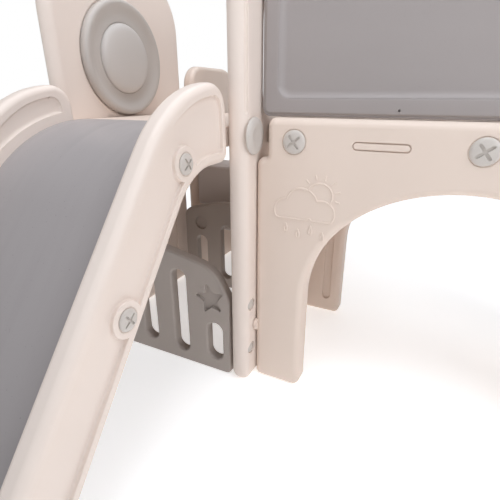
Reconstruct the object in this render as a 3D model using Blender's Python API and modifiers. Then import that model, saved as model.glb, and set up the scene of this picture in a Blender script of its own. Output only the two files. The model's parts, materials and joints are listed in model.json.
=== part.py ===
"""Toddler play set: a slide tower with a tunnel bridge and rear stairs.

The set is assembled from moulded plastic panels, treads and boards that are held by large
plastic bolts and screws. Sizes are in metres, +Z is up, and the children slide towards -Y.
Everything is laid out from the corner where the tower's right wall meets the front arch,
and one empty then carries the whole set so that the origin is in the middle of its footprint.
"""

import math

import bmesh
import bpy
from mathutils import Matrix, Vector

# Walls of the tower and the bridge end
WALL_THICK = 0.044
WALL_FRONT = -0.042
WALL_REAR = 0.430
WALL_HEIGHT = 0.960
WALL_EDGE = 0.019
WALL_FOOT_RADIUS = 0.024
WALL_TOP_RADIUS = 0.150
TOWER_CLEAR = 0.429
RIGHT_WALL_X = -0.022
RIGHT_INNER = RIGHT_WALL_X - WALL_THICK / 2
LEFT_INNER = RIGHT_INNER - TOWER_CLEAR
LEFT_WALL_X = LEFT_INNER - WALL_THICK / 2
TOWER_MID = (RIGHT_INNER + LEFT_INNER) / 2

# Doorway from the tower to the bridge
DOOR_FRONT = 0.048
DOOR_REAR = 0.348
DOOR_SILL = 0.606
DOOR_TOP = 0.884
DOOR_SILL_RADIUS = 0.045
DOOR_TOP_RADIUS = 0.120

# Grooves moulded into the walls: one in the front edge, a pair in the den
EDGE_GROOVE_LOW = 0.612
EDGE_GROOVE_HIGH = 0.800
EDGE_GROOVE_RADIUS = 0.0038
DEN_GROOVES_Y = (0.300, 0.345)
DEN_GROOVE_WIDTH = 0.012
DEN_GROOVE_DEPTH = 0.003
DEN_GROOVE_LOW = 0.060
DEN_GROOVE_HIGH = 0.480

# Platforms, hollow underneath between a rim and webs
DECK_TOP = 0.587
DECK_THICK = 0.040
DECK_BOTTOM = DECK_TOP - DECK_THICK
DECK_FRONT = -0.032
DECK_REAR = 0.420
DECK_EDGE = 0.004
DECK_RIM = 0.055
DECK_WEB = 0.018
DECK_SHELL = 0.012
DECK_POCKETS = 2

# Gap between pieces that touch, and how far a cutter stands out of what it cuts
GAP = 0.0003
OVER = 0.010

# Arch panels of the tunnel
ARCH_LEFT = 0.0006
ARCH_WIDTH = 0.7795
ARCH_MID = ARCH_LEFT + ARCH_WIDTH / 2
ARCH_RIGHT = ARCH_LEFT + ARCH_WIDTH
ARCH_HEIGHT = 0.602
ARCH_THICK = 0.056
ARCH_EDGE = 0.013
ARCH_CORNER = 0.015
ARCH_FRONT = 0.0
ARCH_REAR = 0.427
ARCH_HALF_SPAN = 0.2815
ARCH_RISE = 0.262
ARCH_SPRING = 0.234
ARCH_CROWN_POINTS = 14
NOTCH_WIDTH = 0.023
NOTCH_DEPTH = 0.075
NOTCH_CORNER = 0.006
LEG_GROOVE_INSET = 0.070
LEG_GROOVE_WIDTH = 0.024
LEG_GROOVE_DEPTH = 0.007
LEG_GROOVE_LOW = 0.045
LEG_GROOVE_HIGH = 0.330
LUG_RADIUS = 0.0135
LUG_WIDTH = 0.0084
LUG_INSET = 0.002
LUG_Z = 0.144
ARCH_SCREW_Z = 0.5595
ARCH_SCREW_INSET = 0.079

# Bridge end wall and guard boards
END_WALL_X = ARCH_RIGHT + 0.0006 + WALL_THICK / 2
GUARD_THICK = 0.030
GUARD_HEIGHT = 0.267
GUARD_INSET = 0.019
GUARD_BOTTOM = ARCH_HEIGHT + 0.0015
GUARD_SHORT = 0.004
GUARD_CORNER = 0.015
GUARD_EDGE = 0.010
GUARD_RIM = 0.024
GUARD_FIELD_CORNER = 0.026
GUARD_FIELD_DEPTH = 0.009
GUARD_TAB_INSET = 0.150
GUARD_TAB_WIDTH = 0.060
GUARD_TAB_THICK = 0.012
GUARD_TAB_DEPTH = 0.024
GUARD_TAB_ROOT = 0.012
GUARD_TAB_CLEARANCE = 0.0005

# Bed of the slide
SLOPE = math.radians(51.78)
CREST_Z = 0.589
CREST_Y = -0.026
CREST_RADIUS = 0.320
FOOT_RADIUS = 0.290
RUNOUT_Z = 0.070
RUNOUT_END = -0.832
BED_THICK = 0.042
BED_SHELL = 0.012
BED_NOSE = 0.006
BED_EDGE = 0.045
BED_RIB = 0.012
BED_STEPS = 6
TONGUE_THICK = 0.015
TONGUE_END = 0.0006
HOLLOW_HEAD = -0.075
HOLLOW_FOOT = -0.735

# Rails of the slide; the feet are where their sloping edges would meet the floor
SLIDE_WIDTH = 0.439
RAIL_THICK = 0.039
RAIL_EDGE = 0.012
RAIL_RIM = 0.020
RAIL_WEB = 0.006
RAIL_PEAK = 0.6653
RAIL_TILT = math.radians(5.1)
RAIL_BOTTOM = 0.520
RAIL_BACK = -0.036
RAIL_LEAN = 0.005
RAIL_END = -0.838
RAIL_END_TOP = 0.112
RAIL_UPPER_FOOT = -0.7112
RAIL_LOWER_FOOT = -0.5627
RAIL_BEND_RADIUS = 0.244
RAIL_TAIL_RADIUS = 0.230
RAIL_SOLE_RADIUS = 0.150
RAIL_HEEL_RADIUS = 0.130
RAIL_PEAK_RADIUS = 0.0455
RAIL_TIP_RADIUS = 0.040
RAIL_CORNER_RADIUS = 0.022
RAIL_INNER_CORNER = 0.008
RAIL_FIELD_RIM = 0.022
RAIL_FIELD_DEPTH = 0.005
RAIL_FIELD_LIFT = 0.018
RAIL_FIELD_END = -0.600
RAIL_SCREWS = ((-0.1786, 0.536), (-0.3456, 0.3357), (-0.770, 0.049))

# Fasteners
ARCH_SCREW_HEAD = 0.022
ARCH_SCREW_CROWN = 0.0052
ARCH_SCREW_SHANK = 0.007
ARCH_SCREW_LENGTH = 0.079
ARCH_SCREW_BITE = 0.030
RAIL_SCREW_HEAD = 0.018
RAIL_SCREW_CROWN = 0.0045
RAIL_SCREW_SHANK = 0.0057
RAIL_SCREW_BITE = 0.026
SCREW_SINK = 0.001
SEAT_DEPTH = 0.0014
SEAT_CLEARANCE = 0.001
SHANK_CLEARANCE = 0.0005
SOCKET_SPARE = 0.004
BOLT_HEAD = 0.035
BOLT_RISE = 0.010
BOLT_SHANK = 0.012
BOLT_LENGTH = 0.078
BOLT_SOCKET = 0.036
BOLT_Z = 0.568
BOLT_FRONT_Y = -0.010
BOLT_REAR_Y = 0.395
TOWER_BOLTS = (BOLT_FRONT_Y, BOLT_REAR_Y)
BRIDGE_BOLTS = (0.080, 0.347)
PEG_HEAD = 0.0125
PEG_SEAT = 0.0145
PEG_SHANK = 0.005
PEG_SINK = 0.005
PEG_DOME = 0.0016
PEG_BITE = 0.010
PEG_SIDES = 8
BOSS_RADIUS = 0.028

# Den fences under the tower deck
FENCE_THICK = 0.028
FENCE_FRONT_Y = -0.030
FENCE_REAR_Y = 0.374
FENCE_LEFT = -0.452
FENCE_RIGHT = -0.050
FENCE_EDGE = 0.006
FENCE_FOOT_RADIUS = 0.014
FENCE_CROWN = ((FENCE_RIGHT, 0.205, 0.050), (-0.092, 0.278, 0.090), (-0.286, 0.318, 0.260),
               (FENCE_LEFT, 0.274, 0.034))
SLOT_WIDTH = 0.041
SLOTS = ((-0.092, 0.034, 0.134), (-0.190, 0.030, 0.256), (-0.288, 0.038, 0.230),
         (-0.386, 0.038, 0.182))
FIGURE_DEPTH = 0.005
STAR_SPOT = (-0.1025, 0.1975)
STAR_OUTER = 0.042
STAR_INNER = 0.020
STAR_TILT = math.radians(12.0)
DISC_SPOT = (-0.386, 0.231)
DISC_RADIUS = 0.023
PEG_HEIGHTS = (0.088, 0.203)

# Play wheel on the left wall
WHEEL_Y = 0.1716
WHEEL_Z = 0.7291
WHEEL_RADIUS = 0.1372
WHEEL_MARGIN = 0.0035
WHEEL_POCKET = 0.004
WHEEL_LIFT = 0.0012
WHEEL_WEB = 0.013
HUB_RADIUS = 0.084
HUB_RISE = 0.024
HUB_LEDGE = 0.010
HUB_SEAT = 0.0062
TROUGH_WIDTH = 0.016
TROUGH_DEPTH = 0.0015
DISH_RING = 0.030
DISH_SHOULDER = 0.009
DISH_RISE = 0.008
DISH_RIM = 0.003
AXLE_RADIUS = 0.009
AXLE_PLAY = 0.0008
AXLE_HEAD = 0.0165
AXLE_FLANGE = 0.021
WASHER_RADIUS = 0.0205
WASHER_RECESS = 0.006

# Rear stairs
STAIR_FRONT = 0.4405
STAIR_REAR = 0.915
STAIR_TOP = 0.730
STAIR_TAIL = 0.300
STAIR_TAIL_RADIUS = 0.090
STAIR_BEND_Y = 0.715
STAIR_BEND_RADIUS = 0.110
STAIR_HEAD_RADIUS = 0.060
STAIR_FOOT_RADIUS = 0.022
STAIR_EDGE = 0.009
STAIR_WINDOW = ((0.632, 0.325, 0.030), (0.812, 0.325, 0.030), (0.700, 0.560, 0.040),
                (0.632, 0.560, 0.030))
STEP_TOPS = (0.138, 0.275, 0.416)
STEP_FRONTS = (0.7005, 0.5705, 0.4410)
STEP_DEPTH = 0.150
STEP_GAP = 0.0006
STEP_EDGE = 0.010
STEP_SHELL = 0.014
STEP_BRACE = 0.040
SILL_REAR = 0.470
SILL_EDGE = 0.006

# Facets: how far a fillet may sag from its arc, and the sides of turned pieces
SAG = 0.003
SMOOTH_BELOW = math.radians(32.0)
SCREW_SIDES = 8
HOLE_SIDES = 8
BOLT_SIDES = 10
WHEEL_SIDES = 20

# Welding distance, and the share of a full half width that a fillet or a bevel may take
WELD = 0.00001
FULL = 0.98

# Middle of the footprint
ORIGIN = Vector((-(LEFT_WALL_X + END_WALL_X) / 2, -(RAIL_END + STAIR_REAR) / 2, 0.0))

PLANES = {
    "XY": Matrix.Identity(4),
    "XZ": Matrix(((1, 0, 0, 0), (0, 0, -1, 0), (0, 1, 0, 0), (0, 0, 0, 1))),
    "YZ": Matrix(((0, 0, 1, 0), (1, 0, 0, 0), (0, 1, 0, 0), (0, 0, 0, 1))),
}
THICK_AXIS = {"XY": Vector((0, 0, 1)), "XZ": Vector((0, 1, 0)), "YZ": Vector((1, 0, 0))}


# Scene set-up

def clear_scene():
    """Remove every object that the file starts with."""
    for item in list(bpy.data.objects):
        bpy.data.objects.remove(item, do_unlink=True)


def new_collection(name):
    """Return a new collection that is linked to the scene."""
    group = bpy.data.collections.new(name)
    bpy.context.scene.collection.children.link(group)
    return group


def plastic(name, colour, roughness):
    """Return a Principled material for one colour of moulded plastic."""
    material = bpy.data.materials.new(name)
    material.use_nodes = True
    shader = material.node_tree.nodes["Principled BSDF"]
    shader.inputs["Base Color"].default_value = (*colour, 1.0)
    shader.inputs["Roughness"].default_value = roughness
    shader.inputs["Metallic"].default_value = 0.0
    material.diffuse_color = (*colour, 1.0)
    return material


# Outlines

def rounded(corners):
    """Turn (a, b, radius) corners into a closed outline whose fillets keep within the facets' sag."""
    points = []
    count = len(corners)
    for index, (a, b, radius) in enumerate(corners):
        here = Vector((a, b))
        before = Vector(corners[index - 1][:2]) - here
        after = Vector(corners[(index + 1) % count][:2]) - here
        if radius <= 0:
            points.append(here)
            continue
        before.normalize()
        after.normalize()
        half = math.acos(max(-1.0, min(1.0, before.dot(after)))) / 2
        reach = radius / math.tan(half)
        centre = here + (before + after).normalized() * (radius / math.sin(half))
        start = here + before * reach - centre
        sweep = math.pi - 2 * half
        turn = 1.0 if before.x * after.y - before.y * after.x < 0 else -1.0
        pieces = max(2, math.ceil(sweep / (2 * math.acos(max(0.0, 1 - SAG / radius)))))
        for piece in range(pieces + 1):
            angle = turn * sweep * piece / pieces
            spin = Matrix.Rotation(angle, 2)
            points.append(centre + spin @ start)
    return points


def inset(corners, distance, least):
    """Move every side of a cornered outline inwards, with no corner sharper than the least radius."""
    count = len(corners)
    area = sum(corners[i - 1][0] * corners[i][1] - corners[i][0] * corners[i - 1][1]
               for i in range(count))
    side = 1.0 if area > 0 else -1.0
    result = []
    for index, (a, b, radius) in enumerate(corners):
        here = Vector((a, b))
        along_in = (here - Vector(corners[index - 1][:2])).normalized()
        along_out = (Vector(corners[(index + 1) % count][:2]) - here).normalized()
        cross = side * (along_in.x * along_out.y - along_in.y * along_out.x)
        normal_in = Vector((-along_in.y, along_in.x)) * side
        normal_out = Vector((-along_out.y, along_out.x)) * side
        bisector = (normal_in + normal_out).normalized()
        moved = here + bisector * (distance / bisector.dot(normal_in))
        fillet = max(radius - distance, least) if cross > 0 else radius + distance
        result.append((moved.x, moved.y, fillet))
    return result


def box_corners(left, right, low, high, radius):
    """Return the four equal corners of a rounded rectangle."""
    return [(left, low, radius), (right, low, radius), (right, high, radius), (left, high, radius)]


def circle(a, b, radius, sides=20):
    """Return the points of a circle."""
    return [Vector((a + radius * math.cos(2 * math.pi * i / sides),
                    b + radius * math.sin(2 * math.pi * i / sides))) for i in range(sides)]


def star(a, b, outer, inner, tilt):
    """Return the ten points of a five-pointed star."""
    points = []
    for i in range(10):
        reach = outer if i % 2 == 0 else inner
        angle = math.pi / 2 + tilt + math.pi * i / 5
        points.append(Vector((a + reach * math.cos(angle), b + reach * math.sin(angle))))
    return points


# Solids

def merged(mesh):
    """Weld coincident points of a mesh and turn its faces outwards."""
    work = bmesh.new()
    work.from_mesh(mesh)
    bmesh.ops.remove_doubles(work, verts=work.verts, dist=WELD)
    bmesh.ops.recalc_face_normals(work, faces=work.faces)
    if work.calc_volume(signed=True) < 0:
        bmesh.ops.reverse_faces(work, faces=work.faces)
    work.to_mesh(mesh)
    work.free()
    return mesh


def slab(loops, plane, low, high, edge=0.0, rings=1):
    """Extrude a flat outline, with holes, between two positions and round its edges.

    The filled curve is drawn in its own plane, its bevel rounds every rim, and the
    negative offset keeps the rounded solid inside the outline.
    """
    curve = bpy.data.curves.new("outline", "CURVE")
    curve.dimensions = "2D"
    curve.fill_mode = "BOTH"
    curve.extrude = (high - low) / 2 - edge
    curve.bevel_depth = edge
    curve.bevel_resolution = rings
    curve.offset = -edge
    for loop in loops:
        spline = curve.splines.new("POLY")
        spline.points.add(len(loop) - 1)
        for point, spot in zip(spline.points, loop):
            point.co = (spot[0], spot[1], 0.0, 1.0)
        spline.use_cyclic_u = True
    drawn = bpy.data.objects.new("outline", curve)
    bpy.context.scene.collection.objects.link(drawn)
    graph = bpy.context.evaluated_depsgraph_get()
    mesh = bpy.data.meshes.new_from_object(drawn.evaluated_get(graph))
    bpy.data.objects.remove(drawn, do_unlink=True)
    bpy.data.curves.remove(curve)
    move = Matrix.Translation(THICK_AXIS[plane] * (low + high) / 2)
    mesh.transform(move @ PLANES[plane])
    return merged(mesh)


def pocket(loops, plane, face, depth, rings=1):
    """Return a cutter for a moulded recess whose walls curve into its floor."""
    return slab(loops, plane, face - depth, face + depth, depth * FULL, rings)


def block(low, high, edge=0.0):
    """Return a box between two corners, with chamfered edges where asked."""
    work = bmesh.new()
    bmesh.ops.create_cube(work, size=1.0)
    size = Vector(high) - Vector(low)
    centre = (Vector(high) + Vector(low)) / 2
    bmesh.ops.transform(work, verts=work.verts,
                        matrix=Matrix.Translation(centre) @ Matrix.Diagonal((*size, 1.0)))
    if edge > 0:
        bmesh.ops.bevel(work, geom=work.edges[:], offset=edge, segments=1, profile=0.5,
                        affect="EDGES")
    mesh = bpy.data.meshes.new("block")
    work.to_mesh(mesh)
    work.free()
    return mesh


def around(radius, sides):
    """Return the corner radius of a regular outline that clears a circle."""
    return radius / math.cos(math.pi / sides)


def rod(axis, a, b, start, end, radius, sides=16):
    """Return a round cutter along a world axis that clears a shaft of the given radius."""
    work = bmesh.new()
    corner = around(radius, sides)
    bmesh.ops.create_cone(work, cap_ends=True, segments=sides, radius1=corner, radius2=corner,
                          depth=end - start)
    middle = (start + end) / 2
    plane, spot = {"X": ("YZ", Vector((middle, a, b))), "Y": ("XZ", Vector((a, middle, b))),
                   "Z": ("XY", Vector((a, b, middle)))}[axis]
    bmesh.ops.transform(work, verts=work.verts, matrix=Matrix.Translation(spot) @ PLANES[plane])
    bmesh.ops.recalc_face_normals(work, faces=work.faces)
    mesh = bpy.data.meshes.new("rod")
    work.to_mesh(mesh)
    work.free()
    return mesh


def lathe(axis, a, b, face, inward, profile, sides=HOLE_SIDES):
    """Return a stepped round cutter: (radius, depth) points measured into the piece from a face."""
    work = bmesh.new()
    points = [work.verts.new((around(radius, sides), 0.0, depth * inward)) for radius, depth in profile]
    edges = [work.edges.new(pair) for pair in zip(points, points[1:])]
    bmesh.ops.spin(work, geom=points + edges, cent=(0, 0, 0), axis=(0, 0, 1), dvec=(0, 0, 0),
                   angle=2 * math.pi, steps=sides, use_merge=True)
    bmesh.ops.remove_doubles(work, verts=work.verts, dist=WELD)
    plane, spot = {"X": ("YZ", Vector((face, a, b))), "Y": ("XZ", Vector((a, face, b)))}[axis]
    flip = Matrix.Scale(-1.0, 4, Vector((0, 0, 1))) if axis == "Y" else Matrix.Identity(4)
    bmesh.ops.transform(work, verts=work.verts, matrix=Matrix.Translation(spot) @ PLANES[plane] @ flip)
    bmesh.ops.recalc_face_normals(work, faces=work.faces)
    mesh = bpy.data.meshes.new("lathe")
    work.to_mesh(mesh)
    work.free()
    return mesh


def joined(meshes):
    """Gather several separate bodies into one mesh."""
    work = bmesh.new()
    for mesh in meshes:
        work.from_mesh(mesh)
    result = bpy.data.meshes.new("joined")
    work.to_mesh(result)
    work.free()
    return result


class Kit:
    """Holds the collections, materials and carrier of the set while it is built."""

    def __init__(self):
        self.parts = new_collection("kids_slide")
        self.cutters = new_collection("kids_slide_cutters")
        self.cream = plastic("cream_plastic", (0.76, 0.68, 0.62), 0.42)
        self.grey = plastic("grey_plastic", (0.31, 0.29, 0.28), 0.45)
        self.pale = plastic("pale_grey_plastic", (0.56, 0.53, 0.51), 0.40)
        self.carrier = bpy.data.objects.new("set_origin", None)
        self.carrier.location = ORIGIN
        self.parts.objects.link(self.carrier)

    def piece(self, name, mesh, material, cuts=(), location=(0.0, 0.0, 0.0)):
        """Place one sub-part and subtract its cutters."""
        own = material.copy()
        own.name = name
        mesh.materials.clear()
        mesh.materials.append(own)
        item = bpy.data.objects.new(name, mesh)
        item.location = location
        item.parent = self.carrier
        self.parts.objects.link(item)
        if cuts:
            self.subtract(item, self.cutter(name + "_cutter", joined(cuts)))
        mesh.shade_smooth()
        mesh.set_sharp_from_angle(angle=SMOOTH_BELOW)
        return item

    def cutter(self, name, mesh):
        """Place a wire-only cutter."""
        item = bpy.data.objects.new(name, mesh)
        item.parent = self.carrier
        item.hide_render = True
        item.display_type = "WIRE"
        self.cutters.objects.link(item)
        return item

    def subtract(self, item, cutter):
        """Cut one object out of another."""
        modifier = item.modifiers.new("cut", "BOOLEAN")
        modifier.operation = "DIFFERENCE"
        modifier.solver = "EXACT"
        modifier.object = cutter

    def mirrored(self, source, name, across):
        """Place the mirror image of a finished piece across an upright plane."""
        graph = bpy.context.evaluated_depsgraph_get()
        mesh = bpy.data.meshes.new_from_object(source.evaluated_get(graph))
        shift = Matrix.Translation((2 * across, 0.0, 0.0))
        mesh.transform(shift @ Matrix.Scale(-1.0, 4, Vector((1.0, 0.0, 0.0))))
        mesh.flip_normals()
        return self.piece(name, mesh, source.data.materials[0])

    def add(self, item, mesh, name):
        """Join a solid to a piece."""
        modifier = item.modifiers.new("add", "BOOLEAN")
        modifier.operation = "UNION"
        modifier.solver = "EXACT"
        modifier.object = self.cutter(name, mesh)

    def turned(self, name, profile, material, location, turn, sides=SCREW_SIDES):
        """Place a turned piece: a profile of (radius, height) points spun round its own Z."""
        mesh = bpy.data.meshes.new(name)
        points = [(radius, 0.0, height) for radius, height in profile]
        edges = [(i, i + 1) for i in range(len(points) - 1)]
        if profile[0][0] > 0:
            edges.append((len(points) - 1, 0))
        mesh.from_pydata(points, edges, [])
        item = self.piece(name, mesh, material, location=location)
        item.rotation_euler = turn
        spin = item.modifiers.new("spin", "SCREW")
        spin.steps = sides
        spin.render_steps = sides
        spin.use_merge_vertices = True
        spin.merge_threshold = WELD
        spin.use_smooth_shade = True
        return item


TO_RIGHT = (0.0, math.radians(90.0), 0.0)
TO_LEFT = (0.0, math.radians(-90.0), 0.0)
TO_FRONT = (math.radians(90.0), 0.0, 0.0)
TO_REAR = (math.radians(-90.0), 0.0, 0.0)


# Fasteners

def screw_profile(head, shank, length, crown):
    """Profile of a domed screw whose head sits on the plane at height 0."""
    return [(0.0, crown), (head * 0.70, crown * 0.78), (head, -SCREW_SINK), (shank, -SCREW_SINK),
            (shank, -length), (0.0, -length)]


def screw_hole(axis, a, b, face, inward, head, shank, length):
    """Cutter for a screw: a shallow seat for the head above a hole for the shank."""
    seat = head + SEAT_CLEARANCE
    hole = shank + GAP
    return lathe(axis, a, b, face, inward, [(0.0, -OVER), (seat, -OVER), (seat, SEAT_DEPTH),
                                            (hole, SEAT_DEPTH), (hole, length), (0.0, length)])


def screw_sockets(spots, left, right):
    """Blind holes in both ends of a piece between two panels, for the tips of their screws."""
    radius = RAIL_SCREW_SHANK + SHANK_CLEARANCE
    bite = RAIL_SCREW_BITE + SOCKET_SPARE
    return [rod("X", y, z, low, high, radius, 8) for y, z in spots
            for low, high in ((left - OVER, left + bite), (right - bite, right + OVER))]


def bolt_sockets(left, right):
    """Blind holes in both ends of the tower deck for its large bolts."""
    return [rod("X", y, BOLT_Z, low, high, BOLT_SHANK + GAP, 12) for y in TOWER_BOLTS
            for low, high in ((left - OVER, left + BOLT_SOCKET), (right - BOLT_SOCKET, right + OVER))]


def bolt_profile():
    """Profile of the large plastic bolt that locks a platform between two walls."""
    head, rise = BOLT_HEAD, BOLT_RISE
    return [(0.0, rise * 0.95), (head * 0.50, rise), (head * 0.86, rise * 0.80), (head, rise * 0.40),
            (head, GAP), (BOLT_SHANK, GAP), (BOLT_SHANK, -BOLT_LENGTH), (0.0, -BOLT_LENGTH)]


# Walls

def wall_corners():
    """Outline of a wall panel in Y and Z."""
    foot, top = WALL_FOOT_RADIUS, WALL_TOP_RADIUS
    return [(WALL_FRONT, 0.0, foot), (WALL_REAR, 0.0, foot),
            (WALL_REAR, WALL_HEIGHT, top), (WALL_FRONT, WALL_HEIGHT, top)]


def bolt_holes(wall_x, positions):
    """Through holes of a wall for its large bolts."""
    low, high = wall_x - WALL_THICK, wall_x + WALL_THICK
    return [rod("X", y, BOLT_Z, low, high, BOLT_SHANK + GAP, 12) for y in positions]


def peg_holes(wall_x, side):
    """Stepped holes in a tower wall for the pegs that hold both fences."""
    face = wall_x + side * WALL_THICK / 2
    shank, through = PEG_SHANK + GAP, WALL_THICK + OVER
    steps = [(0.0, -OVER), (PEG_SEAT, -OVER), (PEG_SEAT, PEG_SINK), (shank, PEG_SINK),
             (shank, through), (0.0, through)]
    return [lathe("X", fence + FENCE_THICK / 2, z, face, -side, steps, PEG_SIDES)
            for fence in (FENCE_FRONT_Y, FENCE_REAR_Y) for z in PEG_HEIGHTS]


def edge_groove(wall_x, side):
    """Cutter for the upright groove in the rounded front edge above the deck."""
    reach = (WALL_EDGE + SEAT_DEPTH) * math.cos(math.radians(45.0))
    x = wall_x + side * (WALL_THICK / 2 - WALL_EDGE + reach)
    y = WALL_FRONT + WALL_EDGE - reach
    return rod("Z", x, y, EDGE_GROOVE_LOW, EDGE_GROOVE_HIGH, EDGE_GROOVE_RADIUS, 8)


def capsule(middle, width, low, high):
    """Outline of an upright slot with round ends."""
    half = width / 2
    return rounded(box_corners(middle - half, middle + half, low, high, half * FULL))


def den_grooves(face):
    """Narrow upright grooves moulded into the left wall where it faces the den."""
    return [slab([capsule(y, DEN_GROOVE_WIDTH, DEN_GROOVE_LOW, DEN_GROOVE_HIGH)], "YZ",
                 face - DEN_GROOVE_DEPTH, face + DEN_GROOVE_DEPTH) for y in DEN_GROOVES_Y]


def door_corners():
    """Outline of the doorway in Y and Z."""
    return [(DOOR_FRONT, DOOR_SILL, DOOR_SILL_RADIUS), (DOOR_REAR, DOOR_SILL, DOOR_SILL_RADIUS),
            (DOOR_REAR, DOOR_TOP, DOOR_TOP_RADIUS), (DOOR_FRONT, DOOR_TOP, DOOR_TOP_RADIUS)]


def wall_panel(wall_x, windows=()):
    """A wall panel with a full bullnose rim, and with rounded windows where asked."""
    loops = [rounded(corners) for corners in (wall_corners(), *windows)]
    return slab(loops, "YZ", wall_x - WALL_THICK / 2, wall_x + WALL_THICK / 2, WALL_EDGE)


def build_walls(kit):
    """Left wall with the wheel's pocket, right wall with the doorway, and the bridge end wall."""
    seat, hole, through = WHEEL_RADIUS + WHEEL_MARGIN, AXLE_RADIUS + GAP, WALL_THICK + OVER
    steps = [(0.0, -OVER), (seat, -OVER), (seat, WHEEL_POCKET), (hole, WHEEL_POCKET),
             (hole, through), (0.0, through)]
    wheel_seat = lathe("X", WHEEL_Y, WHEEL_Z, LEFT_INNER, -1, steps, 28)
    kit.piece("wall_left", wall_panel(LEFT_WALL_X), kit.cream,
              [wheel_seat] + bolt_holes(LEFT_WALL_X, TOWER_BOLTS) + peg_holes(LEFT_WALL_X, -1)
              + den_grooves(LEFT_INNER))

    kit.piece("wall_right", wall_panel(RIGHT_WALL_X, [door_corners()]), kit.cream,
              bolt_holes(RIGHT_WALL_X, TOWER_BOLTS) + peg_holes(RIGHT_WALL_X, 1)
              + [edge_groove(RIGHT_WALL_X, 1)])

    inner = END_WALL_X - WALL_THICK / 2
    blank = rod("X", WHEEL_Y, WHEEL_Z, inner - OVER, inner + WHEEL_POCKET, WHEEL_RADIUS, 24)
    kit.piece("wall_end", wall_panel(END_WALL_X), kit.cream, [blank] + bolt_holes(END_WALL_X, BRIDGE_BOLTS))


# Platforms

def deck(kit, name, left, right, front, rear, cuts):
    """A hollow-bottomed platform with two rows of moulded pockets underneath."""
    body = block((left, front, DECK_BOTTOM), (right, rear, DECK_TOP), DECK_EDGE)
    width = (right - left - 2 * DECK_RIM + DECK_WEB) / DECK_POCKETS - DECK_WEB
    depth = (rear - front - 2 * DECK_RIM + DECK_WEB) / DECK_POCKETS - DECK_WEB
    hollows = []
    for column in range(DECK_POCKETS):
        for row in range(DECK_POCKETS):
            x = left + DECK_RIM + column * (width + DECK_WEB)
            y = front + DECK_RIM + row * (depth + DECK_WEB)
            hollows.append(block((x, y, DECK_BOTTOM - OVER), (x + width, y + depth, DECK_TOP - DECK_SHELL)))
    return kit.piece(name, body, kit.cream, hollows + cuts)


def build_decks(kit):
    """The tower deck with the rebate for the slide's tongue, and the bridge deck."""
    left, right = LEFT_INNER + GAP, RIGHT_INNER - GAP
    tongue = slide_inner(0.0)
    rebate = block((tongue[0] - GAP, DECK_FRONT - OVER, DECK_TOP - TONGUE_THICK),
                   (tongue[1] + GAP, TONGUE_END, DECK_TOP + OVER))
    deck(kit, "tower_deck", left, right, DECK_FRONT, DECK_REAR, [rebate] + bolt_sockets(left, right))

    low, high = ARCH_LEFT, ARCH_RIGHT
    front, rear = ARCH_FRONT + ARCH_THICK + GAP, ARCH_REAR - ARCH_THICK - GAP
    holes = []
    for x in arch_screw_spots():
        radius = ARCH_SCREW_SHANK + SHANK_CLEARANCE
        holes.append(rod("Y", x, ARCH_SCREW_Z, front - OVER, front + ARCH_SCREW_BITE, radius, 8))
        holes.append(rod("Y", x, ARCH_SCREW_Z, rear - ARCH_SCREW_BITE, rear + OVER, radius, 8))
    sockets = [rod("X", y, BOLT_Z, high - BOLT_SOCKET, high + OVER, BOLT_SHANK + GAP, 12)
               for y in BRIDGE_BOLTS]
    sockets.append(rod("X", BOLT_REAR_Y, BOLT_Z, low - OVER, low + NOTCH_WIDTH,
                       BOLT_HEAD + 2 * SEAT_CLEARANCE, 16))
    deck(kit, "bridge_deck", low, high, front, rear, holes + sockets)


def build_bolts(kit):
    """Large bolts: four through the tower walls and two through the bridge end wall."""
    profile = bolt_profile()
    right_face, left_face = RIGHT_WALL_X + WALL_THICK / 2, LEFT_WALL_X - WALL_THICK / 2
    for spot, y in zip(("front", "rear"), TOWER_BOLTS):
        for name, face, turn in (("right_", right_face, TO_RIGHT), ("left_", left_face, TO_LEFT)):
            kit.turned("tower_bolt_" + name + spot, profile, kit.pale, (face, y, BOLT_Z), turn, BOLT_SIDES)
    end_face = END_WALL_X + WALL_THICK / 2
    for spot, y in zip(("front", "rear"), BRIDGE_BOLTS):
        kit.turned("bridge_bolt_" + spot, profile, kit.pale, (end_face, y, BOLT_Z), TO_RIGHT, BOLT_SIDES)


# Fences

def fence_corners():
    """Outline of a fence in X and Z: a lopsided arch that drops towards the right wall."""
    return [(FENCE_LEFT, 0.0, FENCE_FOOT_RADIUS), (FENCE_RIGHT, 0.0, FENCE_FOOT_RADIUS), *FENCE_CROWN]


def build_fence(kit, name, front):
    """A den fence with four capsule slots, a sunk star and a sunk disc."""
    loops = [rounded(fence_corners())]
    loops += [capsule(x, SLOT_WIDTH, low, high) for x, low, high in SLOTS]
    body = slab(loops, "XZ", front, front + FENCE_THICK, FENCE_EDGE, 0)
    figures = (star(*STAR_SPOT, STAR_OUTER, STAR_INNER, STAR_TILT), circle(*DISC_SPOT, DISC_RADIUS, 14))
    cuts = [slab([figure], "XZ", front - FIGURE_DEPTH, front + FIGURE_DEPTH) for figure in figures]
    bite = PEG_BITE + SOCKET_SPARE
    ends = ((FENCE_LEFT - OVER, FENCE_LEFT + bite), (FENCE_RIGHT - bite, FENCE_RIGHT + OVER))
    cuts += [rod("X", front + FENCE_THICK / 2, z, low, high, PEG_SHANK + GAP, PEG_SIDES)
             for z in PEG_HEIGHTS for low, high in ends]
    kit.piece(name, body, kit.grey, cuts)


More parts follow.
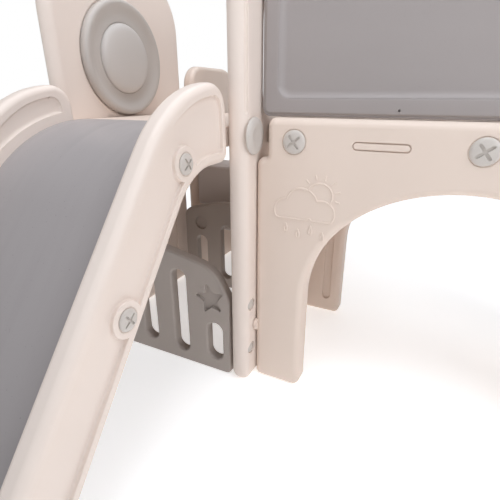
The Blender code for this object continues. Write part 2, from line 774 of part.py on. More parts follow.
def build_pegs(kit):
    """Pegs that run through each tower wall into the fences, with low domed heads."""
    right_length = WALL_THICK + (RIGHT_INNER - FENCE_RIGHT) + PEG_BITE
    left_length = WALL_THICK + (FENCE_LEFT - LEFT_INNER) + PEG_BITE
    sides = (("right", RIGHT_WALL_X + WALL_THICK / 2, TO_RIGHT, right_length),
             ("left", LEFT_WALL_X - WALL_THICK / 2, TO_LEFT, left_length))
    for spot, front in (("front", FENCE_FRONT_Y), ("rear", FENCE_REAR_Y)):
        for level, z in zip(("low", "high"), PEG_HEIGHTS):
            for side, face, turn, length in sides:
                profile = [(0.0, -GAP), (PEG_HEAD * 0.80, -PEG_DOME / 2), (PEG_HEAD, -PEG_DOME),
                           (PEG_HEAD, GAP - PEG_SINK), (PEG_SHANK, GAP - PEG_SINK),
                           (PEG_SHANK, -length), (0.0, -length)]
                kit.turned("fence_peg_" + spot + "_" + side + "_" + level, profile, kit.pale,
                           (face, front + FENCE_THICK / 2, z), turn, PEG_SIDES)


# Tunnel arches and guard boards

def arch_screw_spots():
    """X positions of the three screws in an arch panel."""
    return (ARCH_LEFT + ARCH_SCREW_INSET, ARCH_MID, ARCH_RIGHT - ARCH_SCREW_INSET)


def arch_outline():
    """Outline of an arch panel in X and Z, with a notch for a bolt head in each top corner."""
    soft, half = ARCH_CORNER, ARCH_HALF_SPAN
    outer = [(ARCH_RIGHT, 0.0, soft), (ARCH_RIGHT, ARCH_HEIGHT - NOTCH_DEPTH, soft),
             (ARCH_RIGHT - NOTCH_WIDTH, ARCH_HEIGHT - NOTCH_DEPTH, NOTCH_CORNER),
             (ARCH_RIGHT - NOTCH_WIDTH, ARCH_HEIGHT, soft), (ARCH_LEFT + NOTCH_WIDTH, ARCH_HEIGHT, soft),
             (ARCH_LEFT + NOTCH_WIDTH, ARCH_HEIGHT - NOTCH_DEPTH, NOTCH_CORNER),
             (ARCH_LEFT, ARCH_HEIGHT - NOTCH_DEPTH, soft), (ARCH_LEFT, 0.0, soft),
             (ARCH_MID - half, 0.0, soft), (ARCH_MID - half, ARCH_SPRING, 0.0),
             (ARCH_MID + half, ARCH_SPRING, 0.0), (ARCH_MID + half, 0.0, soft)]
    points = rounded(outer)
    spring = next(i for i, p in enumerate(points) if abs(p.x - (ARCH_MID - half)) < 1e-6
                  and abs(p.y - ARCH_SPRING) < 1e-6)
    crown = []
    for i in range(1, ARCH_CROWN_POINTS):
        angle = math.pi - math.pi * i / ARCH_CROWN_POINTS
        crown.append(Vector((ARCH_MID + half * math.cos(angle), ARCH_SPRING + ARCH_RISE * math.sin(angle))))
    return points[:spring + 1] + crown + points[spring + 1:]


def build_arch(kit, name, outer_face, inward):
    """An arch panel; inward is +1 where the tunnel lies towards +Y of its outer face."""
    inner_face = outer_face + inward * ARCH_THICK
    low, high = sorted((outer_face, inner_face))
    body = slab([arch_outline()], "XZ", low, high, ARCH_EDGE)
    cuts = [screw_hole("Y", x, ARCH_SCREW_Z, outer_face, inward, ARCH_SCREW_HEAD, ARCH_SCREW_SHANK,
                       ARCH_THICK + OVER) for x in arch_screw_spots()]
    lugs = []
    for side in (-1, 1):
        leg = ARCH_MID + side * (ARCH_WIDTH / 2 - LEG_GROOVE_INSET)
        cuts.append(slab([capsule(leg, LEG_GROOVE_WIDTH, LEG_GROOVE_LOW, LEG_GROOVE_HIGH)], "XZ",
                         inner_face - LEG_GROOVE_DEPTH, inner_face + LEG_GROOVE_DEPTH))
        tab_y = outer_face + inward * (GUARD_INSET + GUARD_THICK / 2)
        middle = Vector((guard_tab_spot(side), tab_y, ARCH_HEIGHT))
        reach = Vector((GUARD_TAB_WIDTH / 2, GUARD_TAB_THICK / 2, GUARD_TAB_DEPTH))
        reach += Vector((1, 1, 1)) * GUARD_TAB_CLEARANCE
        cuts.append(block(middle - reach, middle + reach))
        end = ARCH_MID + side * ARCH_WIDTH / 2
        start, stop = sorted((end, end - side * LUG_WIDTH))
        lugs.append(rod("X", outer_face + inward * LUG_INSET, LUG_Z, start, stop, LUG_RADIUS, 10))
    panel = kit.piece(name, body, kit.cream, cuts)
    kit.add(panel, joined(lugs), name + "_lugs")


def guard_tab_spot(side):
    """X position of a guard board's tab."""
    return ARCH_MID + side * (ARCH_WIDTH / 2 - GUARD_TAB_INSET)


def build_guard(kit, name, outer_face, inward):
    """A guard board over the arch, with a raised rim, a sunk field and two tabs."""
    near = outer_face + inward * GUARD_INSET
    far = near + inward * GUARD_THICK
    low, high = sorted((near, far))
    corners = box_corners(ARCH_LEFT + GUARD_SHORT, ARCH_RIGHT - GUARD_SHORT, GUARD_BOTTOM,
                          GUARD_BOTTOM + GUARD_HEIGHT, GUARD_CORNER)
    body = slab([rounded(corners)], "XZ", low, high, GUARD_EDGE)
    field = rounded(inset(corners, GUARD_RIM, GUARD_FIELD_CORNER))
    board = kit.piece(name, body, kit.grey, [pocket([field], "XZ", near, GUARD_FIELD_DEPTH, 0)])
    tabs = []
    for side in (-1, 1):
        x, middle = guard_tab_spot(side), (low + high) / 2
        tabs.append(block((x - GUARD_TAB_WIDTH / 2, middle - GUARD_TAB_THICK / 2,
                           ARCH_HEIGHT - GUARD_TAB_DEPTH),
                          (x + GUARD_TAB_WIDTH / 2, middle + GUARD_TAB_THICK / 2,
                           GUARD_BOTTOM + GUARD_TAB_ROOT)))
    kit.add(board, joined(tabs), name + "_tabs")


def build_arch_screws(kit):
    """Three screws through each arch panel into the bridge deck."""
    profile = screw_profile(ARCH_SCREW_HEAD, ARCH_SCREW_SHANK, ARCH_SCREW_LENGTH, ARCH_SCREW_CROWN)
    for panel, face, turn in (("front", ARCH_FRONT, TO_FRONT), ("rear", ARCH_REAR, TO_REAR)):
        for spot, x in zip(("left", "middle", "right"), arch_screw_spots()):
            kit.turned("arch_screw_" + panel + "_" + spot, profile, kit.pale,
                       (x, face, ARCH_SCREW_Z), turn, BOLT_SIDES)


# Slide

def slide_inner(clearance):
    """X range between the slide's two rails."""
    reach = SLIDE_WIDTH / 2 - RAIL_THICK - clearance
    return TOWER_MID - reach, TOWER_MID + reach


def bed_path(drop):
    """Slide surface, from the tower to the run-out, lowered at right angles by a depth."""
    points = []
    steps = BED_STEPS
    radius = CREST_RADIUS - drop
    low = CREST_Z - CREST_RADIUS
    for i in range(steps + 1):
        angle = SLOPE * i / steps
        points.append(Vector((CREST_Y - radius * math.sin(angle), low + radius * math.cos(angle))))
    crest_end_z = low + CREST_RADIUS * math.cos(SLOPE)
    crest_end_y = CREST_Y - CREST_RADIUS * math.sin(SLOPE)
    centre_z = RUNOUT_Z + FOOT_RADIUS
    foot_start_z = centre_z - FOOT_RADIUS * math.cos(SLOPE)
    foot_start_y = crest_end_y - (crest_end_z - foot_start_z) / math.tan(SLOPE)
    centre_y = foot_start_y - FOOT_RADIUS * math.sin(SLOPE)
    radius = FOOT_RADIUS + drop
    for i in range(steps + 1):
        angle = SLOPE * (1 - i / steps)
        points.append(Vector((centre_y + radius * math.sin(angle), centre_z - radius * math.cos(angle))))
    return points


def bed_profile():
    """Closed outline of the bed in Y and Z, hooked over the deck's front edge."""
    end, low = RUNOUT_END, RUNOUT_Z - BED_THICK
    nose = [Vector((end + BED_NOSE, RUNOUT_Z)), Vector((end, RUNOUT_Z - BED_NOSE)),
            Vector((end, low + BED_NOSE / 2)), Vector((end + BED_NOSE / 2, low))]
    shoulder, back = DECK_TOP - TONGUE_THICK + GAP, DECK_FRONT - GAP
    hook = [Vector((back, CREST_Z - BED_THICK)), Vector((back, shoulder)), Vector((0.0, shoulder))]
    return ([Vector((0.0, CREST_Z))] + bed_path(0.0) + nose + list(reversed(bed_path(BED_THICK)))
            + hook)


def bed_hollow():
    """Outline in Y and Z of the hollow under the bed's shell."""
    top = bed_path(BED_SHELL)[2:-1]
    rise = HOLLOW_HEAD - top[0].x
    head = Vector((HOLLOW_HEAD, top[0].y + rise / 2))
    return [head] + top + [Vector((HOLLOW_FOOT, 0.0)), Vector((top[-1].x + BED_THICK, 0.0)),
                           Vector((HOLLOW_HEAD, head.y - 2 * BED_THICK))]


def build_slide(kit):
    """The grey bed, hollow underneath, between two cream rails."""
    left, right = slide_inner(GAP)
    span = (right - left - 2 * BED_EDGE - BED_RIB) / 2
    cuts = [slab([bed_hollow()], "YZ", start, start + span)
            for start in (left + BED_EDGE, left + BED_EDGE + span + BED_RIB)]
    kit.piece("slide_bed", slab([bed_profile()], "YZ", left, right), kit.grey,
              cuts + screw_sockets(RAIL_SCREWS, left, right))

    rail = build_rail(kit, "slide_rail_right", 1)
    kit.mirrored(rail, "slide_rail_left", TOWER_MID)


def rail_corners():
    """Outline of a slide rail in Y and Z: a hump at the tower, the slope and the foot."""
    slope, tilt = math.tan(SLOPE), math.tan(RAIL_TILT)
    peak = RAIL_BACK - RAIL_LEAN
    bend = (RAIL_PEAK - tilt * peak + slope * RAIL_UPPER_FOOT) / (slope - tilt)
    return [(RAIL_BACK, RAIL_BOTTOM, RAIL_CORNER_RADIUS), (peak, RAIL_PEAK, RAIL_PEAK_RADIUS),
            (bend, slope * (bend - RAIL_UPPER_FOOT), RAIL_BEND_RADIUS),
            (RAIL_UPPER_FOOT + RAIL_END_TOP / slope, RAIL_END_TOP, RAIL_TAIL_RADIUS),
            (RAIL_END, RAIL_END_TOP, RAIL_TIP_RADIUS), (RAIL_END, 0.0, RAIL_CORNER_RADIUS),
            (RAIL_LOWER_FOOT, 0.0, RAIL_SOLE_RADIUS),
            (RAIL_LOWER_FOOT + RAIL_BOTTOM / slope, RAIL_BOTTOM, RAIL_HEEL_RADIUS)]


def bed_cover():
    """Area in Y and Z that a rail's inner field keeps clear of: the bed, its rim and the run-out."""
    path = [point for point in bed_path(-RAIL_FIELD_LIFT) if point.x > RAIL_FIELD_END]
    return [Vector((0.0, path[0].y))] + path + [Vector((RAIL_FIELD_END, path[-1].y)),
                                                Vector((RAIL_FIELD_END, RAIL_PEAK)),
                                                Vector((RAIL_END, RAIL_PEAK)),
                                                Vector((RAIL_END, 0.0)), Vector((0.0, 0.0))]


def build_rail(kit, name, side):
    """A slide rail: rounded rim, web with flush bosses outside, shallow field above the bed inside."""
    outer = TOWER_MID + side * SLIDE_WIDTH / 2
    inner = outer - side * RAIL_THICK
    low, high = sorted((outer, inner))
    corners = rail_corners()
    rail = kit.piece(name, slab([rounded(corners)], "YZ", low, high, RAIL_EDGE), kit.cream)

    web = rounded(inset(corners, RAIL_RIM, RAIL_INNER_CORNER))
    bosses = [rod("X", y, z, outer - OVER, outer + OVER, BOSS_RADIUS, 10) for y, z in RAIL_SCREWS]
    outer_web = kit.cutter(name + "_outer_web", pocket([web], "YZ", outer, RAIL_WEB, 0))
    kit.subtract(outer_web, kit.cutter(name + "_bosses", joined(bosses)))
    kit.subtract(rail, outer_web)

    field = rounded(inset(corners, RAIL_FIELD_RIM, RAIL_INNER_CORNER))
    inner_field = kit.cutter(name + "_inner_field", pocket([field], "YZ", inner, RAIL_FIELD_DEPTH, 0))
    cover = slab([bed_cover()], "YZ", inner - OVER, inner + OVER)
    kit.subtract(inner_field, kit.cutter(name + "_bed_cover", cover))
    kit.subtract(rail, inner_field)

    holes = [rail_hole(y, z, outer, side) for y, z in RAIL_SCREWS]
    kit.subtract(rail, kit.cutter(name + "_holes", joined(holes)))
    return rail


def rail_hole(y, z, outer, side):
    """Stepped hole for a screw through a rail or a stair side."""
    return screw_hole("X", y, z, outer, -side, RAIL_SCREW_HEAD, RAIL_SCREW_SHANK, RAIL_THICK + OVER)


def side_screws(kit, stem, levels, spots):
    """Screws through both rails or both stair sides into what lies between them."""
    profile = screw_profile(RAIL_SCREW_HEAD, RAIL_SCREW_SHANK, RAIL_THICK + RAIL_SCREW_BITE,
                            RAIL_SCREW_CROWN)
    for side, name, turn in ((1, "_right_", TO_RIGHT), (-1, "_left_", TO_LEFT)):
        outer = TOWER_MID + side * SLIDE_WIDTH / 2
        for level, (y, z) in zip(levels, spots):
            kit.turned(stem + name + level, profile, kit.pale, (outer, y, z), turn)


def build_rail_screws(kit):
    """Three screws through each rail into the bed's edge."""
    side_screws(kit, "slide_screw", ("upper", "lower", "foot"), RAIL_SCREWS)


# Play wheel

def build_wheel(kit):
    """A dished wheel with a raised hub cap that turns on an axle through the left wall."""
    r, hub, place = WHEEL_RADIUS, HUB_RADIUS, (LEFT_INNER, WHEEL_Y, WHEEL_Z)
    floor = WHEEL_LIFT - WHEEL_POCKET
    bore = AXLE_RADIUS + AXLE_PLAY
    recess = WASHER_RADIUS + 5 * GAP
    step = hub - OVER
    dish = [(hub, HUB_LEDGE), (hub + TROUGH_WIDTH, HUB_LEDGE - TROUGH_DEPTH),
            (hub + DISH_RING, HUB_LEDGE + TROUGH_DEPTH), (r - DISH_SHOULDER, HUB_LEDGE + DISH_RISE),
            (r, HUB_LEDGE + DISH_RIM), (r, floor), (recess, floor), (recess, floor + WASHER_RECESS),
            (bore, floor + WASHER_RECESS), (bore, WHEEL_WEB), (step, WHEEL_WEB), (step, HUB_SEAT),
            (hub, HUB_SEAT)]
    kit.turned("play_wheel", dish, kit.grey, place, TO_RIGHT, WHEEL_SIDES)

    rim, under = hub - GAP, WHEEL_WEB + GAP
    thick = HUB_RISE / 5
    cap = [(0.0, HUB_RISE), (hub * 0.55, HUB_RISE * 0.975), (hub * 0.82, HUB_RISE * 0.88),
           (hub * 0.94, HUB_RISE * 0.70), (rim, HUB_LEDGE + 2 * GAP), (rim, HUB_LEDGE + GAP),
           (step + GAP, HUB_LEDGE + GAP), (step + GAP, under), (hub * 0.75, under),
           (hub * 0.45, HUB_RISE - thick), (0.0, HUB_RISE - thick)]
    kit.turned("wheel_hub_cap", cap, kit.grey, place, TO_RIGHT, WHEEL_SIDES)

    back = -WALL_THICK - GAP
    flange = WALL_THICK * 0.08
    axle = [(0.0, under + flange), (AXLE_HEAD, under + flange), (AXLE_HEAD, under + GAP),
            (AXLE_RADIUS, under + GAP), (AXLE_RADIUS, back), (AXLE_FLANGE, back),
            (AXLE_FLANGE, back - flange), (0.0, back - 2 * flange)]
    kit.turned("wheel_axle", axle, kit.pale, place, TO_RIGHT, 12)

    inside, top, bottom = AXLE_RADIUS + GAP, floor + WASHER_RECESS - 2 * GAP, GAP - WHEEL_POCKET
    washer = [(inside, top), (WASHER_RADIUS, top), (WASHER_RADIUS, bottom), (inside, bottom)]
    kit.turned("wheel_washer", washer, kit.pale, place, TO_RIGHT, 12)


# Rear stairs

def stair_corners():
    """Outline of a stair side in Y and Z: a hand rail at the tower that slopes to the floor."""
    return [(STAIR_FRONT, 0.0, STAIR_FOOT_RADIUS), (STAIR_REAR, 0.0, STAIR_FOOT_RADIUS),
            (STAIR_REAR, STAIR_TAIL, STAIR_TAIL_RADIUS), (STAIR_BEND_Y, STAIR_TOP, STAIR_BEND_RADIUS),
            (STAIR_FRONT, STAIR_TOP, STAIR_HEAD_RADIUS)]


def build_stairs(kit):
    """Two sides with a rounded window under the hand rail, three treads and the top sill."""
    left, right = slide_inner(GAP)
    spots = stair_screw_spots()
    loops = [rounded(stair_corners()), rounded(STAIR_WINDOW)]
    for side, name in ((1, "right"), (-1, "left")):
        outer = TOWER_MID + side * SLIDE_WIDTH / 2
        low, high = sorted((outer, outer - side * RAIL_THICK))
        kit.piece("stair_side_" + name, slab(loops, "YZ", low, high, STAIR_EDGE, 0), kit.cream,
                  [rail_hole(y, z, outer, side) for y, z in spots])
    side_screws(kit, "stair_screw", ("low", "middle", "top"), spots)

    bottoms = (0.0, STEP_TOPS[0] + STEP_GAP, STEP_TOPS[1] + STEP_GAP)
    for number, (top, bottom, front) in enumerate(zip(STEP_TOPS, bottoms, STEP_FRONTS)):
        body = block((left, front, bottom), (right, front + STEP_DEPTH, top), STEP_EDGE)
        hollow = block((left + STEP_BRACE, front + STEP_SHELL, bottom - OVER),
                       (right - STEP_BRACE, front + STEP_DEPTH - STEP_SHELL, top - STEP_SHELL))
        kit.piece("step_" + str(number + 1), body, kit.grey,
                  [hollow] + screw_sockets([spots[number]], left, right))
    sill = block((left, DECK_REAR + GAP, DECK_BOTTOM), (right, SILL_REAR, DECK_TOP), SILL_EDGE)
    kit.piece("stair_sill", sill, kit.cream)


def stair_screw_spots():
    """Positions in Y and Z of the screw that holds each tread."""
    return tuple((front + STEP_DEPTH / 2, top - STEP_BRACE) for front, top in zip(STEP_FRONTS, STEP_TOPS))


def main():
    clear_scene()
    kit = Kit()
    build_walls(kit)
    build_decks(kit)
    build_bolts(kit)
    build_fence(kit, "fence_front", FENCE_FRONT_Y)
    build_fence(kit, "fence_rear", FENCE_REAR_Y)
    build_pegs(kit)
    build_arch(kit, "arch_panel_front", ARCH_FRONT, 1)
    build_arch(kit, "arch_panel_rear", ARCH_REAR, -1)
    build_guard(kit, "guard_board_front", ARCH_FRONT, 1)
    build_guard(kit, "guard_board_rear", ARCH_REAR, -1)
    build_arch_screws(kit)
    build_slide(kit)
    build_rail_screws(kit)
    build_wheel(kit)
    build_stairs(kit)


main()
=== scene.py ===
"""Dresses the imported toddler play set: moulded edges, screws, relief, finishes, light and camera."""

import json
import logging
import math
from dataclasses import dataclass
from enum import Enum
from typing import Callable, Iterable, Sequence

import bmesh
import bpy
from mathutils import Matrix, Vector


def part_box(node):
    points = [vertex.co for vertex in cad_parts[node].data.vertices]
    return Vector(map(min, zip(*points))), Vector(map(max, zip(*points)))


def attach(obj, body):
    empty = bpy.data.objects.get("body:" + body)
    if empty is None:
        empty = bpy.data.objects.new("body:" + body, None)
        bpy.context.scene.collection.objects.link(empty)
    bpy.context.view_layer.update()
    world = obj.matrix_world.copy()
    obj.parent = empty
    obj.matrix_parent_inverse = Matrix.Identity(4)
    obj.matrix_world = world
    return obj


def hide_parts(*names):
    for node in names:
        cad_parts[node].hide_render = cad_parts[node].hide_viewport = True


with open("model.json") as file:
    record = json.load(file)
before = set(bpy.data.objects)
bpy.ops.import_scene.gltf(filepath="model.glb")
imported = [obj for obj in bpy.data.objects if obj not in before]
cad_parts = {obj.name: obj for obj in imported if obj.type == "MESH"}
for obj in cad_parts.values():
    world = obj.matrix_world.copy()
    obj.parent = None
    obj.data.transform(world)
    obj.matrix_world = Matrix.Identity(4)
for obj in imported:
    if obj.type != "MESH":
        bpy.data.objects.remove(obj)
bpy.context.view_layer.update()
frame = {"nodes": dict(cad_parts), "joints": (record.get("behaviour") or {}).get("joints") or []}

LOG = logging.getLogger("play_set")

WALL_FRONT = -0.042
RIGHT_WALL_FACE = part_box("wall_right")[1].x
ARCH_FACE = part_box("wall_right")[0].y - WALL_FRONT
HAIR = 0.0003
FINE = math.radians(6.0)
SMOOTH_BELOW = math.radians(35.0)

Outline = list[tuple[float, float]]
Corner = tuple[float, float, float]


class Plane(Enum):
    """The plane that an outline is drawn in."""

    ACROSS = "X and Z, thick along Y"
    ALONG = "Y and Z, thick along X"
    LEVEL = "X and Y, thick along Z"


class Body(Enum):
    """The CAD bodies that pieces ride on."""

    TOWER = "tower"
    WHEEL = "wheel"


class Slot(Enum):
    """The record's material slots."""

    CREAM = "cream_panel"
    GREY = "grey_panel"
    CHUTE = "slide_surface"
    WHEEL = "wheel_plastic"
    FASTENER = "pale_fastener"
    PEG = "fence_peg"
    AXLE = "axle_plastic"


# Places and outlines

def at(x: float, y: float, z: float) -> Vector:
    """Return the world place of a point given from the corner where wall and arch meet."""
    return Vector((x + RIGHT_WALL_FACE, y + ARCH_FACE, z))


def spread(plane: Plane, a: float, b: float, depth: float) -> Vector:
    """Return the vector of two coordinates in a plane and one across it.

    Args:
        plane: The plane that a and b lie in.
        a: First coordinate in the plane.
        b: Second coordinate in the plane.
        depth: Coordinate across the plane.

    Returns:
        The vector in X, Y, Z order.
    """
    if plane is Plane.ACROSS:
        return Vector((a, depth, b))
    if plane is Plane.ALONG:
        return Vector((depth, a, b))
    return Vector((a, b, depth))


def rounded(corners: Sequence[Corner], step: float = FINE) -> Outline:
    """Turn corners with fillet radii into a smooth closed outline.

    Args:
        corners: Corner points, each with the radius of its fillet.
        step: Largest angle between two points of a fillet.

    Returns:
        The outline's points in order.
    """
    points: Outline = []
    for index, (a, b, radius) in enumerate(corners):
        here = Vector((a, b))
        if radius <= 0:
            points.append((a, b))
            continue
        before = (Vector(corners[index - 1][:2]) - here).normalized()
        after = (Vector(corners[(index + 1) % len(corners)][:2]) - here).normalized()
        half = math.acos(max(-1.0, min(1.0, before.dot(after)))) / 2
        centre = here + (before + after).normalized() * (radius / math.sin(half))
        start = here + before * (radius / math.tan(half)) - centre
        sweep = math.pi - 2 * half
        turn = 1.0 if before.x * after.y - before.y * after.x < 0 else -1.0
        pieces = max(3, math.ceil(sweep / step))
        for piece in range(pieces + 1):
            spot = centre + Matrix.Rotation(turn * sweep * piece / pieces, 2) @ start
            points.append((spot.x, spot.y))
    return points


def inset(corners: Sequence[Corner], distance: float, least: float = 0.004) -> list[Corner]:
    """Move every side of a cornered outline inwards.

    Args:
        corners: The outline's corners with their radii.
        distance: How far the sides move.
        least: Smallest fillet that the result may have.

    Returns:
        The corners of the inner outline.
    """
    count = len(corners)
    area = sum(corners[i - 1][0] * corners[i][1] - corners[i][0] * corners[i - 1][1] for i in range(count))
    side = 1.0 if area > 0 else -1.0
    result: list[Corner] = []
    for index, (a, b, radius) in enumerate(corners):
        here = Vector((a, b))
        along_in = (here - Vector(corners[index - 1][:2])).normalized()
        along_out = (Vector(corners[(index + 1) % count][:2]) - here).normalized()
        cross = side * (along_in.x * along_out.y - along_in.y * along_out.x)
        normal_in = Vector((-along_in.y, along_in.x)) * side
        normal_out = Vector((-along_out.y, along_out.x)) * side
        bisector = (normal_in + normal_out).normalized()
        moved = here + bisector * (distance / bisector.dot(normal_in))
        fillet = max(radius - distance, least) if cross > 0 else radius + distance
        result.append((moved.x, moved.y, fillet))
    return result


def oblong(left: float, right: float, low: float, high: float, radius: float) -> list[Corner]:
    """Return the corners of a rounded rectangle."""
    return [(left, low, radius), (right, low, radius), (right, high, radius), (left, high, radius)]


def ring(a: float, b: float, radius: float, sides: int = 48) -> Outline:
    """Return the points of a circle."""
    turns = (2 * math.pi * i / sides for i in range(sides))
    return [(a + radius * math.cos(t), b + radius * math.sin(t)) for t in turns]


# The bench: each function works with Blender's operators on one selected piece

def take(piece: bpy.types.Object) -> bpy.types.Object:
    """Select one object alone and make it active."""
    bpy.ops.object.select_all(action="DESELECT")
    piece.select_set(True)
    bpy.context.view_layer.objects.active = piece
    return piece


def prism(name: str, outline: Outline, plane: Plane, low: float, high: float) -> bpy.types.Object:
    """Model a flat outline with a thickness.

    Args:
        name: Name of the new piece.
        outline: Points in the plane, from the tower's corner.
        plane: The plane of the outline.
        low: Where the thickness starts.
        high: Where the thickness ends.

    Returns:
        The new piece.
    """
    bpy.ops.object.select_all(action="DESELECT")
    bpy.ops.mesh.primitive_circle_add(vertices=len(outline), radius=1.0, fill_type="NGON")
    piece = bpy.context.object
    piece.name = name
    for vertex, (a, b) in zip(piece.data.vertices, outline):
        vertex.co = at(*spread(plane, a, b, low))
    bpy.ops.object.mode_set(mode="EDIT")
    bpy.ops.mesh.select_all(action="SELECT")
    bpy.ops.mesh.extrude_region_move(TRANSFORM_OT_translate={"value": spread(plane, 0, 0, high - low)})
    bpy.ops.mesh.select_all(action="SELECT")
    bpy.ops.mesh.normals_make_consistent(inside=False)
    bpy.ops.object.mode_set(mode="OBJECT")
    return piece


def turned(name: str, profile: Outline, centre: Vector, axis: Vector, sides: int = 64) -> bpy.types.Object:
    """Spin a profile of (radius, height) points round an axis.

    Args:
        name: Name of the new piece.
        profile: Points from the axis outwards and back, or a closed ring off the axis.
        centre: Where height 0 lies on the axis.
        axis: Direction in which heights grow.
        sides: Steps of the spin.

    Returns:
        The new piece.
    """
    outward = Vector((0, 0, 1)) if abs(axis.z) < 0.5 else Vector((1, 0, 0))
    bpy.ops.object.select_all(action="DESELECT")
    bpy.ops.mesh.primitive_circle_add(vertices=len(profile), radius=1.0, fill_type="NOTHING")
    piece = bpy.context.object
    piece.name = name
    for vertex, (radius, height) in zip(piece.data.vertices, profile):
        vertex.co = centre + outward * radius + axis * height
    bpy.ops.object.mode_set(mode="EDIT")
    if profile[0][0] == 0 and profile[-1][0] == 0:
        choose_edges(piece, lambda edge: {v.index for v in edge.verts} == {0, len(profile) - 1})
        bpy.ops.mesh.delete(type="EDGE")
    bpy.ops.mesh.select_all(action="SELECT")
    bpy.ops.mesh.spin(steps=sides, angle=2 * math.pi, center=centre, axis=axis)
    bpy.ops.mesh.select_all(action="SELECT")
    bpy.ops.mesh.remove_doubles(threshold=0.00001)
    bpy.ops.mesh.normals_make_consistent(inside=False)
    bpy.ops.object.mode_set(mode="OBJECT")
    return piece


def block(name: str, low: Vector, high: Vector, edge: float, segments: int = 4) -> bpy.types.Object:
    """Model a box between two places with rounded edges."""
    bpy.ops.object.select_all(action="DESELECT")
    bpy.ops.mesh.primitive_cube_add(size=1.0)
    piece = bpy.context.object
    piece.name = name
    middle, size = (low + high) / 2, high - low
    for vertex in piece.data.vertices:
        vertex.co = Vector(c * s for c, s in zip(vertex.co, size)) + middle
    if edge > 0:
        soften(piece, edge, segments, lambda found: True)
    return piece


def choose_edges(piece: bpy.types.Object, test: Callable[[bmesh.types.BMEdge], bool]) -> int:
    """Select the edges of a piece in edit mode that pass a test, and return how many."""
    bpy.ops.mesh.select_mode(type="EDGE")
    bpy.ops.mesh.select_all(action="DESELECT")
    work = bmesh.from_edit_mesh(piece.data)
    found = [edge for edge in work.edges if test(edge)]
    for edge in found:
        edge.select_set(True)
    bmesh.update_edit_mesh(piece.data)
    return len(found)


def soften(piece: bpy.types.Object, width: float, segments: int,
           test: Callable[[bmesh.types.BMEdge], bool]) -> None:
    """Round the sharp edges of a piece that pass a test.

    Args:
        piece: The piece to work on.
        width: Radius of the rounding.
        segments: Steps of the rounding.
        test: Says whether an edge belongs to the rounding.
    """
    take(piece)
    bpy.ops.object.mode_set(mode="EDIT")
    if choose_edges(piece, lambda edge: sharp(edge) and test(edge)):
        bpy.ops.mesh.bevel(offset=width, segments=segments, profile=0.5, affect="EDGES",
                           clamp_overlap=False)
    bpy.ops.object.mode_set(mode="OBJECT")


def sharp(edge: bmesh.types.BMEdge) -> bool:
    """Say whether two faces meet at an edge by more than the smoothing angle."""
    return len(edge.link_faces) == 2 and edge.calc_face_angle(0.0) > SMOOTH_BELOW


def lies_at(plane: Plane, depth: float) -> Callable[[bmesh.types.BMEdge], bool]:
    """Return a test for edges that lie in one upright or level plane."""
    index = {Plane.ACROSS: 1, Plane.ALONG: 0, Plane.LEVEL: 2}[plane]
    level = at(depth, depth, depth)[index]
    return lambda edge: all(abs(vertex.co[index] - level) < 0.00005 for vertex in edge.verts)


def combine(piece: bpy.types.Object, other: bpy.types.Object, operation: str,
            solver: str = "EXACT") -> bpy.types.Object:
    """Cut another piece from a piece, or add it, and use the other up."""
    take(piece)
    modifier = piece.modifiers.new("combine", "BOOLEAN")
    modifier.operation = operation
    modifier.solver = solver
    modifier.object = other
    bpy.ops.object.modifier_apply(modifier=modifier.name)
    bpy.data.objects.remove(other, do_unlink=True)
    return piece


def cut(piece: bpy.types.Object, others: Iterable[bpy.types.Object]) -> bpy.types.Object:
    """Cut several pieces from one."""
    for other in others:
        combine(piece, other, "DIFFERENCE")
    return piece


def join(first: bpy.types.Object, others: Sequence[bpy.types.Object]) -> bpy.types.Object:
    """Gather several shells into one object."""
    bpy.ops.object.select_all(action="DESELECT")
    for other in others:
        other.select_set(True)
    first.select_set(True)
    bpy.context.view_layer.objects.active = first
    if others:
        bpy.ops.object.join()
    return first


def hand_over(piece: bpy.types.Object, finish: bpy.types.Material, nodes: Sequence[str],
              body: Body = Body.TOWER) -> bpy.types.Object:
    """Smooth and dress a finished piece and fix it to its CAD body.

    Args:
        piece: The finished piece.
        finish: Its material.
        nodes: The CAD nodes that the piece stands for.
        body: The body that it rides on.

    Returns:
        The same piece.
    """
    take(piece)
    bpy.ops.object.transform_apply(location=True, rotation=True, scale=True)
    bpy.ops.object.shade_smooth_by_angle(angle=SMOOTH_BELOW)
    even = piece.modifiers.new("even", "WEIGHTED_NORMAL")
    even.keep_sharp = True
    bpy.ops.object.modifier_apply(modifier=even.name)
    piece.data.materials.clear()
    piece.data.materials.append(finish)
    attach(piece, body.value)
    if nodes:
        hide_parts(*nodes)
    LOG.info("%s rides on %s", piece.name, body.value)
    return piece


# Finishes

class Signal:
    """A shader output that can be used in Python expressions."""

    def __init__(self, shader: "Shader", output: bpy.types.NodeSocket) -> None:
        """Keep the shader and the output that this signal stands for."""
        self.shader = shader
        self.output = output

    def maths(self, operation: str, *others: "Signal | float") -> "Signal":
        """Return this signal combined with others by a Math node."""
        inputs = {index: value for index, value in enumerate((self, *others))}
        return self.shader.node("ShaderNodeMath", 0, {"operation": operation}, inputs)

    def __add__(self, other: "Signal | float") -> "Signal":
        """Return the sum."""
        return self.maths("ADD", other)

    def __mul__(self, other: "Signal | float") -> "Signal":
        """Return the product."""
        return self.maths("MULTIPLY", other)

    def __sub__(self, other: "Signal | float") -> "Signal":
        """Return the difference."""
        return self.maths("SUBTRACT", other)

    def __rsub__(self, other: float) -> "Signal":
        """Return a number less this signal."""
        return self.shader.node("ShaderNodeMath", 0, {"operation": "SUBTRACT"}, {0: other, 1: self})

    __radd__ = __add__
    __rmul__ = __mul__

    def above(self, low: float, high: float) -> "Signal":
        """Return 0 below low and 1 above high, with a straight ramp between."""
        return self.shader.node("ShaderNodeMapRange", 0, {"clamp": True},
                                {"Value": self, "From Min": low, "From Max": high})


